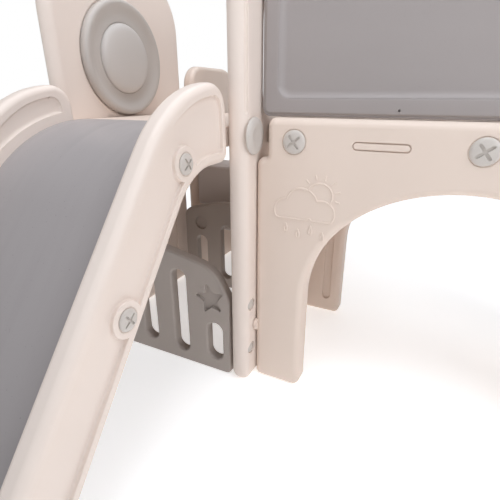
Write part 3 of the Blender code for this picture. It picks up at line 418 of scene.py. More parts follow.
class Shader:
    """A material under construction."""

    def __init__(self, name: str) -> None:
        """Start a material with an empty Principled surface."""
        self.material = bpy.data.materials.new(name)
        self.material.use_nodes = True
        self.tree = self.material.node_tree
        self.surface = self.tree.nodes["Principled BSDF"]
        self.place = self.node("ShaderNodeTexCoord", "Object")

    def node(self, kind: str, output: str | int, settings: dict | None = None,
             inputs: dict | None = None) -> Signal:
        """Add a node.

        Args:
            kind: Blender's type name of the node.
            output: Name or index of the output that is returned.
            settings: Properties that are set first.
            inputs: Values or signals of its sockets.

        Returns:
            The chosen output as a signal.
        """
        made = self.tree.nodes.new(kind)
        for key, value in (settings or {}).items():
            setattr(made, key, value)
        for key, value in (inputs or {}).items():
            self.feed(made.inputs[key], value)
        return Signal(self, made.outputs[output])

    def feed(self, socket: bpy.types.NodeSocket, value: "Signal | float | tuple") -> None:
        """Link a signal to a socket or set the socket's own value."""
        if isinstance(value, Signal):
            self.tree.links.new(value.output, socket)
        else:
            socket.default_value = value

    def noise(self, scale: float, detail: float = 2.0, stretch: tuple = (1.0, 1.0, 1.0)) -> Signal:
        """Return a noise whose features are 1 / scale metres wide, stretched along the axes."""
        spot = self.node("ShaderNodeMapping", 0, {}, {"Vector": self.place, "Scale": stretch})
        return self.node("ShaderNodeTexNoise", "Fac", {}, {"Vector": spot, "Scale": scale, "Detail": detail})

    def blend(self, share: "Signal | float", first: tuple | Signal, second: tuple | Signal) -> Signal:
        """Return a colour between two."""
        return self.node("ShaderNodeMix", 2, {"data_type": "RGBA"}, {0: share, 6: first, 7: second})

    def bump(self, height: Signal, distance: float, strength: float = 1.0,
             under: Signal | None = None) -> Signal:
        """Return a normal that is disturbed by a height in units of distance metres."""
        inputs = {"Height": height, "Distance": distance, "Strength": strength}
        if under is not None:
            inputs["Normal"] = under
        return self.node("ShaderNodeBump", "Normal", {}, inputs)

    def surface_takes(self, **values: "Signal | float | tuple") -> bpy.types.Material:
        """Set the surface's sockets by name, with underscores for spaces, and return the material."""
        for key, value in values.items():
            self.feed(self.surface.inputs[key.replace("_", " ")], value)
        return self.material


@dataclass(frozen=True)
class MouldedPlastic:
    """Blow-moulded polyethylene: faint cloudy colour, a satin skin and a fine grain."""

    name: str
    colour: tuple[float, float, float]
    cloud: tuple[float, float, float]
    roughness: float = 0.42
    grain: float = 0.00003
    specks: float = 0.0
    draw: tuple[float, float, float] = (1.0, 1.0, 0.35)

    def make(self) -> bpy.types.Material:
        """Return the material.

        Returns:
            A material whose patterns are fixed in the object's own coordinates.
        """
        shader = Shader(self.name)
        clouds = shader.noise(7.0, 3.0, self.draw).above(0.35, 0.68)
        colour = shader.blend(clouds * 0.8, (*self.colour, 1.0), (*self.cloud, 1.0))
        if self.specks > 0:
            dots = shader.noise(420.0, 1.0).above(0.735, 0.77) * self.specks
            dark = tuple(value * 0.45 for value in self.colour)
            colour = shader.blend(dots, colour, (*dark, 1.0))
        skin = shader.noise(900.0, 2.0)
        waves = shader.noise(38.0, 1.0)
        rubs = shader.noise(16.0, 4.0, (0.4, 1.0, 1.6)).above(0.55, 0.75)
        roughness = self.roughness + rubs * 0.07 + skin * 0.05
        normal = shader.bump(skin, self.grain)
        normal = shader.bump(waves, 0.00025, 0.5, normal)
        return shader.surface_takes(Base_Color=colour, Roughness=roughness, Normal=normal,
                                    Specular_IOR_Level=0.42, IOR=1.46)


@dataclass(frozen=True)
class ChutePlastic:
    """The chute's smooth skin: rubbed along the slope, with fine dark specks."""

    name: str = "chute plastic"
    colour: tuple[float, float, float] = (0.374, 0.342, 0.338)
    rubbed: tuple[float, float, float] = (0.366, 0.334, 0.330)

    def make(self) -> bpy.types.Material:
        """Return the material."""
        shader = Shader(self.name)
        streaks = shader.noise(30.0, 4.0, (1.0, 0.10, 0.10)).above(0.42, 0.62)
        colour = shader.blend(streaks, (*self.colour, 1.0), (*self.rubbed, 1.0))
        dots = shader.noise(330.0, 0.0).above(0.815, 0.850) * 0.30
        colour = shader.blend(dots, colour, (0.10, 0.095, 0.09, 1.0))
        skin = shader.noise(700.0, 2.0)
        fine = shader.noise(160.0, 2.0, (1.0, 0.05, 0.05))
        roughness = 0.36 + streaks * 0.08 + fine * 0.06
        normal = shader.bump(skin, 0.00002)
        normal = shader.bump(fine, 0.00002, 0.6, normal)
        return shader.surface_takes(Base_Color=colour, Roughness=roughness, Normal=normal,
                                    Specular_IOR_Level=0.45, IOR=1.47)


class Finishes:
    """Every finish of the set, made once."""

    def __init__(self) -> None:
        """Make the materials."""
        self.cream = MouldedPlastic("cream plastic", (0.79, 0.66, 0.573), (0.76, 0.632, 0.547)).make()
        # The walls and rails take a paler copy of the cream: partly their own paler moulding, partly painted light for
        # the extra light their front edges catch.
        self.wall = MouldedPlastic("wall plastic paled for painted light", (0.83, 0.717, 0.645), (0.80, 0.690, 0.618)).make()
        self.grey = MouldedPlastic("grey plastic", (0.424, 0.368, 0.332), (0.398, 0.345, 0.310), 0.44,
                                   specks=0.25).make()
        self.board = MouldedPlastic("guard board plastic", (0.372, 0.334, 0.324), (0.350, 0.314, 0.304), 0.46,
                                    specks=0.15, draw=(0.35, 1.0, 1.0)).make()
        # The treads take a pale warm grey: partly their own paler plastic, partly painted light for the light that
        # reaches their risers under the deck.
        self.step = MouldedPlastic("step plastic paled for painted light", (0.66, 0.60, 0.57), (0.63, 0.575, 0.545), 0.44).make()
        self.wheel = MouldedPlastic("wheel plastic", (0.53, 0.485, 0.45), (0.505, 0.462, 0.428), 0.44).make()
        # The hub cap is the wheel's grey plastic made paler: a painted highlight for the sheen on its dome.
        self.hub = MouldedPlastic("hub plastic paled for painted sheen", (0.60, 0.56, 0.53), (0.575, 0.536, 0.507), 0.42).make()
        self.screw = MouldedPlastic("screw plastic", (0.605, 0.555, 0.512), (0.58, 0.53, 0.489), 0.38,
                                    0.00002).make()
        self.chute = ChutePlastic().make()


# Fasteners

@dataclass
class Fasteners:
    """Cross-head screws, large bolts and the small pieces that keep their CAD shape."""

    finishes: Finishes
    arm_length: float = 0.68
    arm_width: float = 0.20
    arm_depth: float = 0.0032

    def screw(self, name: str, centre: Vector, axis: Vector, radius: float, crown: float) -> bpy.types.Object:
        """Model one cross-head screw.

        Args:
            name: Name of the piece, which is its CAD node's name with a suffix.
            centre: Middle of the head on the panel's face.
            axis: Direction out of the panel.
            radius: Radius of the head.
            crown: Height of the dome.

        Returns:
            The screw's head with its cross recess.
        """
        profile = [(0.0, crown), (radius * 0.35, crown * 0.97), (radius * 0.62, crown * 0.88),
                   (radius * 0.80, crown * 0.72), (radius * 0.90, crown * 0.52), (radius * 0.965, crown * 0.28),
                   (radius * 0.995, crown * 0.05), (radius, -0.0004), (radius * 0.995, -0.0010), (0.0, -0.0010)]
        head = turned(name, profile, centre, axis, 56)
        side = axis.cross(Vector((0, 0, 1))).normalized()
        for turn in (math.radians(38.0), math.radians(128.0)):
            long_way = Matrix.Rotation(turn, 3, axis) @ side
            short_way = axis.cross(long_way)
            combine(head, self.bar(centre + axis * crown, long_way, short_way, axis, radius), "DIFFERENCE")
        soften(head, 0.0005, 2, lambda edge: all((v.co - centre).dot(axis) > crown * 0.5 for v in edge.verts))
        return head

    def bar(self, top: Vector, long_way: Vector, short_way: Vector, axis: Vector,
            radius: float) -> bpy.types.Object:
        """Model the cutter for one arm of the cross, with round ends."""
        reach, half = radius * self.arm_length, radius * self.arm_width / 2
        outline = rounded(oblong(-reach, reach, -half, half, half * 0.98), math.radians(15.0))
        bar = prism("cross_arm", outline, Plane.LEVEL, 0.0, 1.0)
        start = at(0, 0, 0)
        for vertex in bar.data.vertices:
            spot = vertex.co - start
            height = -self.arm_depth if spot.z < 0.5 else self.arm_depth
            vertex.co = top + long_way * spot.x + short_way * spot.y + axis * height
        take(bar)
        bpy.ops.object.mode_set(mode="EDIT")
        bpy.ops.mesh.select_all(action="SELECT")
        bpy.ops.mesh.normals_make_consistent(inside=False)
        bpy.ops.object.mode_set(mode="OBJECT")
        return bar

    def head_place(self, node: str, axis: Vector) -> tuple[Vector, float, float]:
        """Read a screw's head from its CAD node: its centre on the face, radius and crown."""
        low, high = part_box(node)
        middle = (low + high) / 2
        index = max(range(3), key=lambda i: abs(axis[i]))
        tip = high[index] if axis[index] > 0 else low[index]
        crown = 0.0052 if index == 1 else 0.0045
        middle[index] = tip - axis[index] * crown
        across = (index + 1) % 3 if index != 1 else 0
        return middle, (high[across] - low[across]) / 2, crown

    def build(self) -> None:
        """Build all screws, bolts and small parts."""
        for node in sorted(frame["nodes"]):
            axis = self.axis_of(node)
            if "screw" in node and axis is not None:
                centre, radius, crown = self.head_place(node, axis)
                piece = self.screw(node + "_head", centre, axis, radius, crown)
                hand_over(piece, self.finishes.screw, [node])
            elif "bolt" in node and axis is not None:
                hand_over(self.bolt(node, axis), self.finishes.screw, [node])
            elif "peg" in node and axis is not None:
                hand_over(self.peg(node, axis), self.finishes.screw, [node])
            elif node in ("wheel_axle", "wheel_washer"):
                keep(node, self.finishes.screw)

    def axis_of(self, node: str) -> Vector | None:
        """Return the direction that a fastener's head faces."""
        if node.startswith("arch_screw"):
            return Vector((0, -1, 0)) if "front" in node else Vector((0, 1, 0))
        if "screw" in node or "bolt" in node or "peg" in node:
            return Vector((-1, 0, 0)) if "_left" in node else Vector((1, 0, 0))
        return None

    def bolt(self, node: str, axis: Vector) -> bpy.types.Object:
        """Model the head of a large bolt: a thick rounded knob with a shallow dished top."""
        low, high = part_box(node)
        middle = (low + high) / 2
        height = 0.0100
        middle.x = (high.x if axis.x > 0 else low.x) - axis.x * height
        radius = (high.z - low.z) / 2
        profile = [(0.0, 0.0076), (0.0100, 0.0077), (0.0150, 0.0086), (0.0185, 0.0097), (0.0220, 0.0100),
                   (0.0260, 0.0096), (0.0300, 0.0084), (0.0330, 0.0066), (radius - 0.0006, 0.0046),
                   (radius, 0.0030), (radius - 0.0004, 0.0012), (radius - 0.0018, HAIR), (0.0, HAIR)]
        return turned(node + "_knob", profile, middle, axis, 56)

    def peg(self, node: str, axis: Vector) -> bpy.types.Object:
        """Model the low domed head of a fence peg, sunk in its seat."""
        low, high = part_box(node)
        middle = (low + high) / 2
        middle.x = high.x if axis.x > 0 else low.x
        radius = (high.z - low.z) / 2
        profile = [(0.0, 0.0), (radius * 0.45, -0.0002), (radius * 0.75, -0.0008), (radius * 0.90, -0.0017),
                   (radius * 0.98, -0.0028), (radius, -0.0040), (radius, -0.0046), (0.0, -0.0046)]
        return turned(node + "_head", profile, middle, axis, 40)


def keep(node: str, finish: bpy.types.Material) -> None:
    """Give a CAD node that stays visible its finish."""
    piece = frame["nodes"][node]
    piece.data.materials.clear()
    piece.data.materials.append(finish)
    LOG.info("%s keeps its CAD shape", node)


# Walls

@dataclass
class Walls:
    """The two tower walls and the bridge's end wall: thick plates with full round edges."""

    finishes: Finishes
    thick: float = 0.044
    front: float = WALL_FRONT
    rear: float = 0.430
    height: float = 0.960
    edge: float = 0.0205
    wheel_margin: float = 0.0028
    groove_turn: float = math.radians(32.0)
    blank_radius: float = 0.137
    peg_seat: tuple[float, float] = (0.0145, 0.005)
    peg_spots: tuple = ((-0.016, 0.088), (-0.016, 0.203), (0.388, 0.088), (0.388, 0.203))

    def plate(self, name: str, low: float, opening: Sequence[Corner] | None = None) -> bpy.types.Object:
        """Model one wall plate whose left face is at low, with an opening where given."""
        corners = [(self.front, 0.0, 0.024), (self.rear, 0.0, 0.024),
                   (self.rear, self.height, 0.150), (self.front, self.height, 0.150)]
        wall = prism(name, rounded(corners), Plane.ALONG, low, low + self.thick)
        if opening is not None:
            cut(wall, [prism("opening", rounded(opening), Plane.ALONG, low - 0.01, low + self.thick + 0.01)])
        for face in (low, low + self.thick):
            soften(wall, self.edge, 8, lies_at(Plane.ALONG, face))
        return wall

    def seats(self, low: float, side: float) -> list[bpy.types.Object]:
        """Return the cutters for the pegs' seats on one face."""
        face = low + self.thick if side > 0 else low
        radius, depth = self.peg_seat
        profile = [(0.0, -0.02), (radius, -0.02), (radius, depth), (0.0, depth)]
        inward = Vector((-side, 0, 0))
        return [turned("seat", profile, at(face, y, z), inward, 40) for y, z in self.peg_spots]

    def build(self) -> None:
        """Build the three walls."""
        left_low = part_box("wall_left")[0].x - RIGHT_WALL_FACE
        left = self.plate("left_wall_panel", left_low)
        inner = left_low + self.thick
        wheel_low, wheel_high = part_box("play_wheel")
        reach = (wheel_high.z - wheel_low.z) / 2 + self.wheel_margin
        hub = (wheel_low + wheel_high) / 2
        hub.x = inner + RIGHT_WALL_FACE
        pocket = [(0.0, -0.02), (reach, -0.02), (reach, 0.0040), (0.0, 0.0040)]
        cut(left, [turned("pocket", pocket, hub, Vector((-1, 0, 0)), 96)])
        soften(left, 0.0012, 3, lies_at(Plane.ALONG, inner))
        ribs = [prism("rib", rounded(oblong(y - 0.006, y + 0.006, 0.060, 0.480, 0.0059), math.radians(15)),
                      Plane.ALONG, inner - 0.003, inner + 0.01) for y in (0.300, 0.345)]
        cut(left, ribs + self.seats(left_low, -1))
        hand_over(left, self.finishes.wall, ["wall_left"])

        door = [(0.048, 0.606, 0.045), (0.348, 0.606, 0.045), (0.348, 0.884, 0.120), (0.048, 0.884, 0.120)]
        right_low = -self.thick
        right = self.plate("right_wall_panel", right_low, door)
        cut(right, self.seats(right_low, 1) + [self.groove()])
        hand_over(right, self.finishes.wall, ["wall_right"])

        end_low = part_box("wall_end")[0].x - RIGHT_WALL_FACE
        end = self.plate("end_wall_panel", end_low)
        hub.x = end_low + RIGHT_WALL_FACE
        blank = [(0.0, -0.02), (self.blank_radius, -0.02), (self.blank_radius, 0.0025),
                 (self.blank_radius - 0.0025, 0.0040), (0.0, 0.0040)]
        cut(end, [turned("blank", blank, hub, Vector((1, 0, 0)), 96)])
        hand_over(end, self.finishes.wall, ["wall_end"])

    def groove(self) -> bpy.types.Object:
        """Model the cutter for the upright groove in the right wall's rounded front edge."""
        reach = self.edge + 0.0008
        centre = at(-self.edge + reach * math.cos(self.groove_turn),
                    self.front + self.edge - reach * math.sin(self.groove_turn), 0.614)
        profile = [(0.0, -0.006), (0.0024, -0.0048), (0.0046, 0.0), (0.0046, 0.200), (0.0, 0.206)]
        return turned("groove", profile, centre, Vector((0, 0, 1)), 20)


# Platforms

@dataclass
class Platforms:
    """The tower's deck and the bridge's deck, with soft edges and shallow grip grooves."""

    finishes: Finishes
    edge: float = 0.005
    groove: float = 0.0016

    def deck(self, node: str, name: str, grooves: int) -> bpy.types.Object:
        """Model one deck from its CAD box, with grooves that run along X."""
        low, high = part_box(node)
        deck = block(name, low, high, self.edge)
        pitch = (high.y - low.y) / (grooves + 1)
        for number in range(1, grooves + 1):
            y = low.y + pitch * number
            near = Vector((low.x + 0.03, y - 0.002, high.z - self.groove))
            far = Vector((high.x - 0.03, y + 0.002, high.z + 0.01))
            combine(deck, block("grip", near, far, 0.0), "DIFFERENCE")
        return deck

    def build(self) -> None:
        """Build both decks."""
        tower = self.deck("tower_deck", "tower_platform", 8)
        chute_low, chute_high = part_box("slide_bed")
        low = Vector((chute_low.x - HAIR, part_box("tower_deck")[0].y - 0.01, chute_high.z - 0.0173))
        high = Vector((chute_high.x + HAIR, chute_high.y + 0.0006, chute_high.z + 0.02))
        combine(tower, block("rebate", low, high, 0.0), "DIFFERENCE")
        hand_over(tower, self.finishes.cream, ["tower_deck"])
        bridge = self.deck("bridge_deck", "bridge_platform", 6)
        hand_over(bridge, self.finishes.cream, ["bridge_deck"])


# Den fences

@dataclass
class Fence:
    """A den fence: an uneven arch of grey plastic with slots, a sunk star and a sunk disc."""

    finishes: Finishes
    node: str
    left: float = -0.452
    right: float = -0.050
    edge: float = 0.0058
    slot_half: float = 0.0205
    slots: tuple = ((-0.092, 0.034, 0.134), (-0.190, 0.030, 0.256), (-0.288, 0.038, 0.230),
                    (-0.386, 0.038, 0.182))
    star_spot: tuple[float, float] = (-0.1025, 0.1975)
    star_reach: tuple[float, float] = (0.042, 0.020)
    star_tilt: float = math.radians(12.0)
    star_soft: float = 0.0030
    disc_spot: tuple[float, float] = (-0.386, 0.231)
    disc_radius: float = 0.0235
    sink: float = 0.0075

    def outline(self) -> Outline:
        """Return the fence's outer outline."""
        return rounded([(self.left, 0.0, 0.014), (self.right, 0.0, 0.014), (self.right, 0.205, 0.050),
                        (-0.092, 0.278, 0.090), (-0.286, 0.318, 0.260), (self.left, 0.274, 0.034)])

    def star(self) -> Outline:
        """Return the star's outline, with its points and notches a little rounded."""
        corners: list[Corner] = []
        for index in range(10):
            reach = self.star_reach[index % 2]
            angle = math.pi / 2 + self.star_tilt + math.pi * index / 5
            corners.append((self.star_spot[0] + reach * math.cos(angle),
                            self.star_spot[1] + reach * math.sin(angle), self.star_soft))
        return rounded(corners, math.radians(18.0))

    def sunk(self, edge: bmesh.types.BMEdge) -> bool:
        """Say whether an edge belongs to the star or to the disc."""
        middle = (edge.verts[0].co + edge.verts[1].co) / 2
        star, disc = at(self.star_spot[0], 0, self.star_spot[1]), at(self.disc_spot[0], 0, self.disc_spot[1])
        near_star = math.hypot(middle.x - star.x, middle.z - star.z) < self.star_reach[0] + 0.001
        return near_star or math.hypot(middle.x - disc.x, middle.z - disc.z) < self.disc_radius + 0.001

    def build(self) -> None:
        """Build the fence."""
        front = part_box(self.node)[0].y - ARCH_FACE
        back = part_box(self.node)[1].y - ARCH_FACE
        fence = prism(self.node + "_panel", self.outline(), Plane.ACROSS, front, back)
        half = self.slot_half
        cutters = [prism("slot", rounded(oblong(x - half, x + half, low, high, half * 0.995)), Plane.ACROSS,
                         front - 0.01, back + 0.01) for x, low, high in self.slots]
        cutters.append(prism("star", self.star(), Plane.ACROSS, front - 0.01, front + self.sink))
        cutters.append(prism("disc", ring(*self.disc_spot, self.disc_radius), Plane.ACROSS, front - 0.01,
                             front + self.sink))
        cut(fence, cutters)
        at_front, at_back = lies_at(Plane.ACROSS, front), lies_at(Plane.ACROSS, back)
        at_floor = lies_at(Plane.ACROSS, front + self.sink)
        soften(fence, 0.0016, 3, at_floor)
        soften(fence, 0.0016, 3, lambda edge: at_front(edge) and self.sunk(edge))
        soften(fence, self.edge, 5, lambda edge: at_front(edge) and not self.sunk(edge))
        soften(fence, self.edge, 5, at_back)
        hand_over(fence, self.finishes.grey, [self.node])


# Tunnel and bridge

@dataclass
class ArchPanel:
    """A tunnel panel with an elliptic arch, screw seats, capsule grooves and ribbed legs."""

    finishes: Finishes
    node: str
    inward: float
    width: float = 0.7795
    height: float = 0.602
    edge: float = 0.0145
    half_span: float = 0.2795
    rise: float = 0.2535
    spring: float = 0.234
    notch: tuple[float, float] = (0.023, 0.075)
    screw_z: float = 0.5595
    screw_inset: float = 0.079
    capsule_inset: float = 0.2357
    capsule_z: float = 0.558
    thick: float = 0.056
    lug: tuple[float, float, float] = (0.0135, 0.002, 0.144)
    lug_width: float = 0.0084
    relief: bool = False

    def outline(self, left: float) -> Outline:
        """Return the panel's outline, from the left foot round the top and under the arch."""
        soft, middle, right = 0.0155, left + self.width / 2, left + self.width
        wide, deep = self.notch
        corners = [(right, 0.0, soft), (right, self.height - deep, soft), (right - wide, self.height - deep, 0.006),
                   (right - wide, self.height, soft), (left + wide, self.height, soft),
                   (left + wide, self.height - deep, 0.006), (left, self.height - deep, soft), (left, 0.0, soft),
                   (middle - self.half_span, 0.0, soft)]
        under = [(middle - self.half_span * math.cos(math.pi * i / 56),
                  self.spring + self.rise * math.sin(math.pi * i / 56), 0.0) for i in range(57)]
        return rounded(corners + under + [(middle + self.half_span, 0.0, soft)])

    def build(self) -> bpy.types.Object:
        """Build the panel."""
        low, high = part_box(self.node)
        left = low.x - RIGHT_WALL_FACE
        near, far = low.y - ARCH_FACE, high.y - ARCH_FACE
        if self.inward > 0:
            near = far - self.thick
        else:
            far = near + self.thick
        panel = prism(self.node + "_shell", self.outline(left), Plane.ACROSS, near, far)
        for face in (near, far):
            soften(panel, self.edge, 7, lies_at(Plane.ACROSS, face))
        outer, inner = (near, far) if self.inward > 0 else (far, near)
        middle = left + self.width / 2
        way_in = Vector((0, self.inward, 0))
        seat = [(0.0, -0.02), (0.0240, -0.02), (0.0240, -0.0002), (0.0231, 0.0014), (0.0, 0.0014)]
        cutters = [turned("seat", seat, at(x, outer, self.screw_z), way_in, 56)
                   for x in (left + self.screw_inset, middle, left + self.width - self.screw_inset)]
        for side in (-1, 1):
            leg = middle + side * (self.width / 2 - 0.070)
            rib = prism("rib", rounded(oblong(leg - 0.012, leg + 0.012, 0.045, 0.330, 0.0119)), Plane.ACROSS,
                        *sorted((inner - self.inward * 0.007, inner + self.inward * 0.01)))
            soften(rib, 0.004, 3, lies_at(Plane.ACROSS, inner - self.inward * 0.007))
            cutters.append(rib)
            cutters.append(self.capsule(middle + side * (self.width / 2 - self.capsule_inset), outer))
        cut(panel, cutters)
        for face in (outer, inner):
            soften(panel, 0.0006, 2, lies_at(Plane.ACROSS, face))
        for end, way in ((left, 1.0), (left + self.width, -1.0)):
            combine(panel, self.tab(end, way, outer), "UNION")
        if self.relief:
            join(panel, Relief(left + 0.104, 0.432, outer).ridges())
        return hand_over(panel, self.finishes.cream, [self.node])

    def tab(self, end: float, way: float, outer: float) -> bpy.types.Object:
        """Model the half-round lug that stands out at one end of the panel."""
        radius, inset_y, height = self.lug
        middle = (outer + self.inward * inset_y, height)
        low, high = sorted((end, end + way * self.lug_width))
        tab = prism("lug", ring(*middle, radius), Plane.ALONG, low, high)
        for face in (low, high):
            soften(tab, 0.0014, 3, lies_at(Plane.ALONG, face))
        return tab

    def capsule(self, centre: float, outer: float) -> bpy.types.Object:
        """Model the cutter for one capsule-shaped groove."""
        band = [(centre - 0.0485, self.capsule_z - 0.0075, 0.0074), (centre + 0.0485, self.capsule_z - 0.0075, 0.0074),
                (centre + 0.0485, self.capsule_z + 0.0075, 0.0074), (centre - 0.0485, self.capsule_z + 0.0075, 0.0074)]
        wide = prism("capsule", rounded(band), Plane.ACROSS, outer - 0.0036, outer + 0.0036)
        core = prism("core", rounded(inset(band, 0.0021)), Plane.ACROSS, outer - 0.01, outer + 0.01)
        return cut(wide, [core])


@dataclass
class Relief:
    """A plain generic relief of low ridges: a sun behind a cloud, with drops of rain."""

    x: float
    z: float
    face: float
    puffs: tuple = ((-0.038, -0.005, 0.024), (-0.005, 0.010, 0.032), (0.036, -0.004, 0.025))
    sun: tuple[float, float, float] = (0.031, 0.031, 0.024)
    ridge: float = 0.0019

    def cloud_reach(self, angle: float) -> float:
        """Return the cloud's radius in one direction from its middle."""
        way = Vector((math.cos(angle), math.sin(angle)))
        best = 0.0
        for a, b, radius in self.puffs:
            middle = Vector((a, b))
            along = middle.dot(way)
            gap = middle.length_squared - along * along
            if gap < radius * radius:
                best = max(best, along + math.sqrt(radius * radius - gap))
        return best

    def cloud(self) -> Outline:
        """Return the cloud's outline, flat along its base."""
        base = -0.021
        points: Outline = []
        for index in range(96):
            angle = 2 * math.pi * index / 96
            reach = self.cloud_reach(angle)
            a, b = reach * math.cos(angle), reach * math.sin(angle)
            if b < base:
                a, b = a * base / b, base
            points.append((a, b))
        return points

    def sun_arc(self) -> Outline:
        """Return the part of the sun's edge that shows past the cloud."""
        a, b, radius = self.sun
        points = [(a + radius * math.cos(math.radians(t)), b + radius * math.sin(math.radians(t)))
                  for t in range(-40, 175, 6)]
        return [p for p in points if Vector(p).length > self.cloud_reach(math.atan2(p[1], p[0])) + 0.001]

    def drop(self, a: float, b: float) -> Outline:
        """Return a falling drop's outline."""
        return [(a + 0.0045 * math.sin(t) * math.sin(t / 2) ** 1.5, b + 0.0085 * math.cos(t))
                for t in (2 * math.pi * i / 24 for i in range(24))]

    def line(self, points: Outline, closed: bool) -> bpy.types.Object:
        """Model one low ridge along a line on the panel's face."""
        curve = bpy.data.curves.new("ridge", "CURVE")
        curve.dimensions = "3D"
        curve.bevel_depth = self.ridge
        curve.bevel_resolution = 3
        curve.use_fill_caps = not closed
        spline = curve.splines.new("POLY")
        spline.points.add(len(points) - 1)
        for point, (a, b) in zip(spline.points, points):
            point.co = (*at(self.x + a, self.face, self.z + b), 1.0)
        spline.use_cyclic_u = closed
        drawn = bpy.data.objects.new("ridge", curve)
        bpy.context.scene.collection.objects.link(drawn)
        take(drawn)
        bpy.ops.object.convert(target="MESH")
        made = bpy.context.object
        level = at(0, self.face, 0).y
        for vertex in made.data.vertices:
            vertex.co.y = level + (vertex.co.y - level) * 0.75
        return made

    def ridges(self) -> list[bpy.types.Object]:
        """Return every ridge of the relief."""
        made = [self.line(self.cloud(), True), self.line(self.sun_arc(), False)]
        a, b, radius = self.sun
        for t in range(-15, 166, 30):
            way = Vector((math.cos(math.radians(t)), math.sin(math.radians(t))))
            ends = [(a + way.x * reach, b + way.y * reach) for reach in (radius + 0.007, radius + 0.016)]
            made.append(self.line(ends, False))
        for spot in ((-0.036, -0.040), (-0.010, -0.050), (0.016, -0.040), (0.040, -0.050)):
            made.append(self.line(self.drop(*spot), True))
        return made


@dataclass
class GuardBoard:
    """A guard board over the tunnel: a long grey tray with a rolled rim and a sunk field."""

    finishes: Finishes
    node: str
    inward: float
    rim: float = 0.030
    slope: float = 0.0155
    sink: float = 0.0085
    corner: float = 0.015
    field_corner: float = 0.026
    edge: float = 0.0100
    lip: tuple[float, float] = (0.0045, 0.0030)

    def build(self) -> None:
        """Build the board."""
        low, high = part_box(self.node)
        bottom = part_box("arch_panel_front")[1].z + 0.0015
        left, right = low.x - RIGHT_WALL_FACE, high.x - RIGHT_WALL_FACE
        near, far = low.y - ARCH_FACE, high.y - ARCH_FACE
        corners = oblong(left, right, bottom, high.z, self.corner)
        outer, inner = (near, far) if self.inward > 0 else (far, near)
        lip_wide, lip_deep = self.lip
        ledge = outer + self.inward * lip_deep
        board = prism(self.node + "_tray", rounded(corners), Plane.ACROSS, *sorted((ledge, inner)))
        soften(board, 0.0024, 4, lies_at(Plane.ACROSS, ledge))
        soften(board, self.edge, 6, lies_at(Plane.ACROSS, inner))
        raised = prism("raised", rounded(inset(corners, lip_wide, 0.008)), Plane.ACROSS,
                       *sorted((outer, outer + self.inward * 0.012)))
        soften(raised, 0.0042, 5, lies_at(Plane.ACROSS, outer))
        combine(board, raised, "UNION")
        floor = outer + self.inward * self.sink
        mouth = rounded(inset(corners, self.rim, self.field_corner))
        tray = prism("field", mouth, Plane.ACROSS, *sorted((outer - self.inward * 0.01, floor)))
        soften(tray, self.slope, 9, lies_at(Plane.ACROSS, floor))
        cut(board, [tray])
        soften(board, 0.0030, 5, lies_at(Plane.ACROSS, outer))
        cut(board, [turned("vent", [(0.0, -0.02), (0.0022, -0.02), (0.0022, 0.006), (0.0, 0.006)],
                           at(left + 0.251, outer, bottom + 0.013), Vector((0, self.inward, 0)), 16)])
        hand_over(board, self.finishes.board, [self.node])


# Slide

def height_at(points: Outline, place: float) -> float:
    """Return the height of a line of points at a place along it, level past its ends."""
    ordered = sorted(points)
    if place <= ordered[0][0]:
        return ordered[0][1]
    for (a, low), (b, high) in zip(ordered, ordered[1:]):
        if a <= place <= b:
            return low + (high - low) * (place - a) / max(b - a, HAIR)
    return ordered[-1][1]


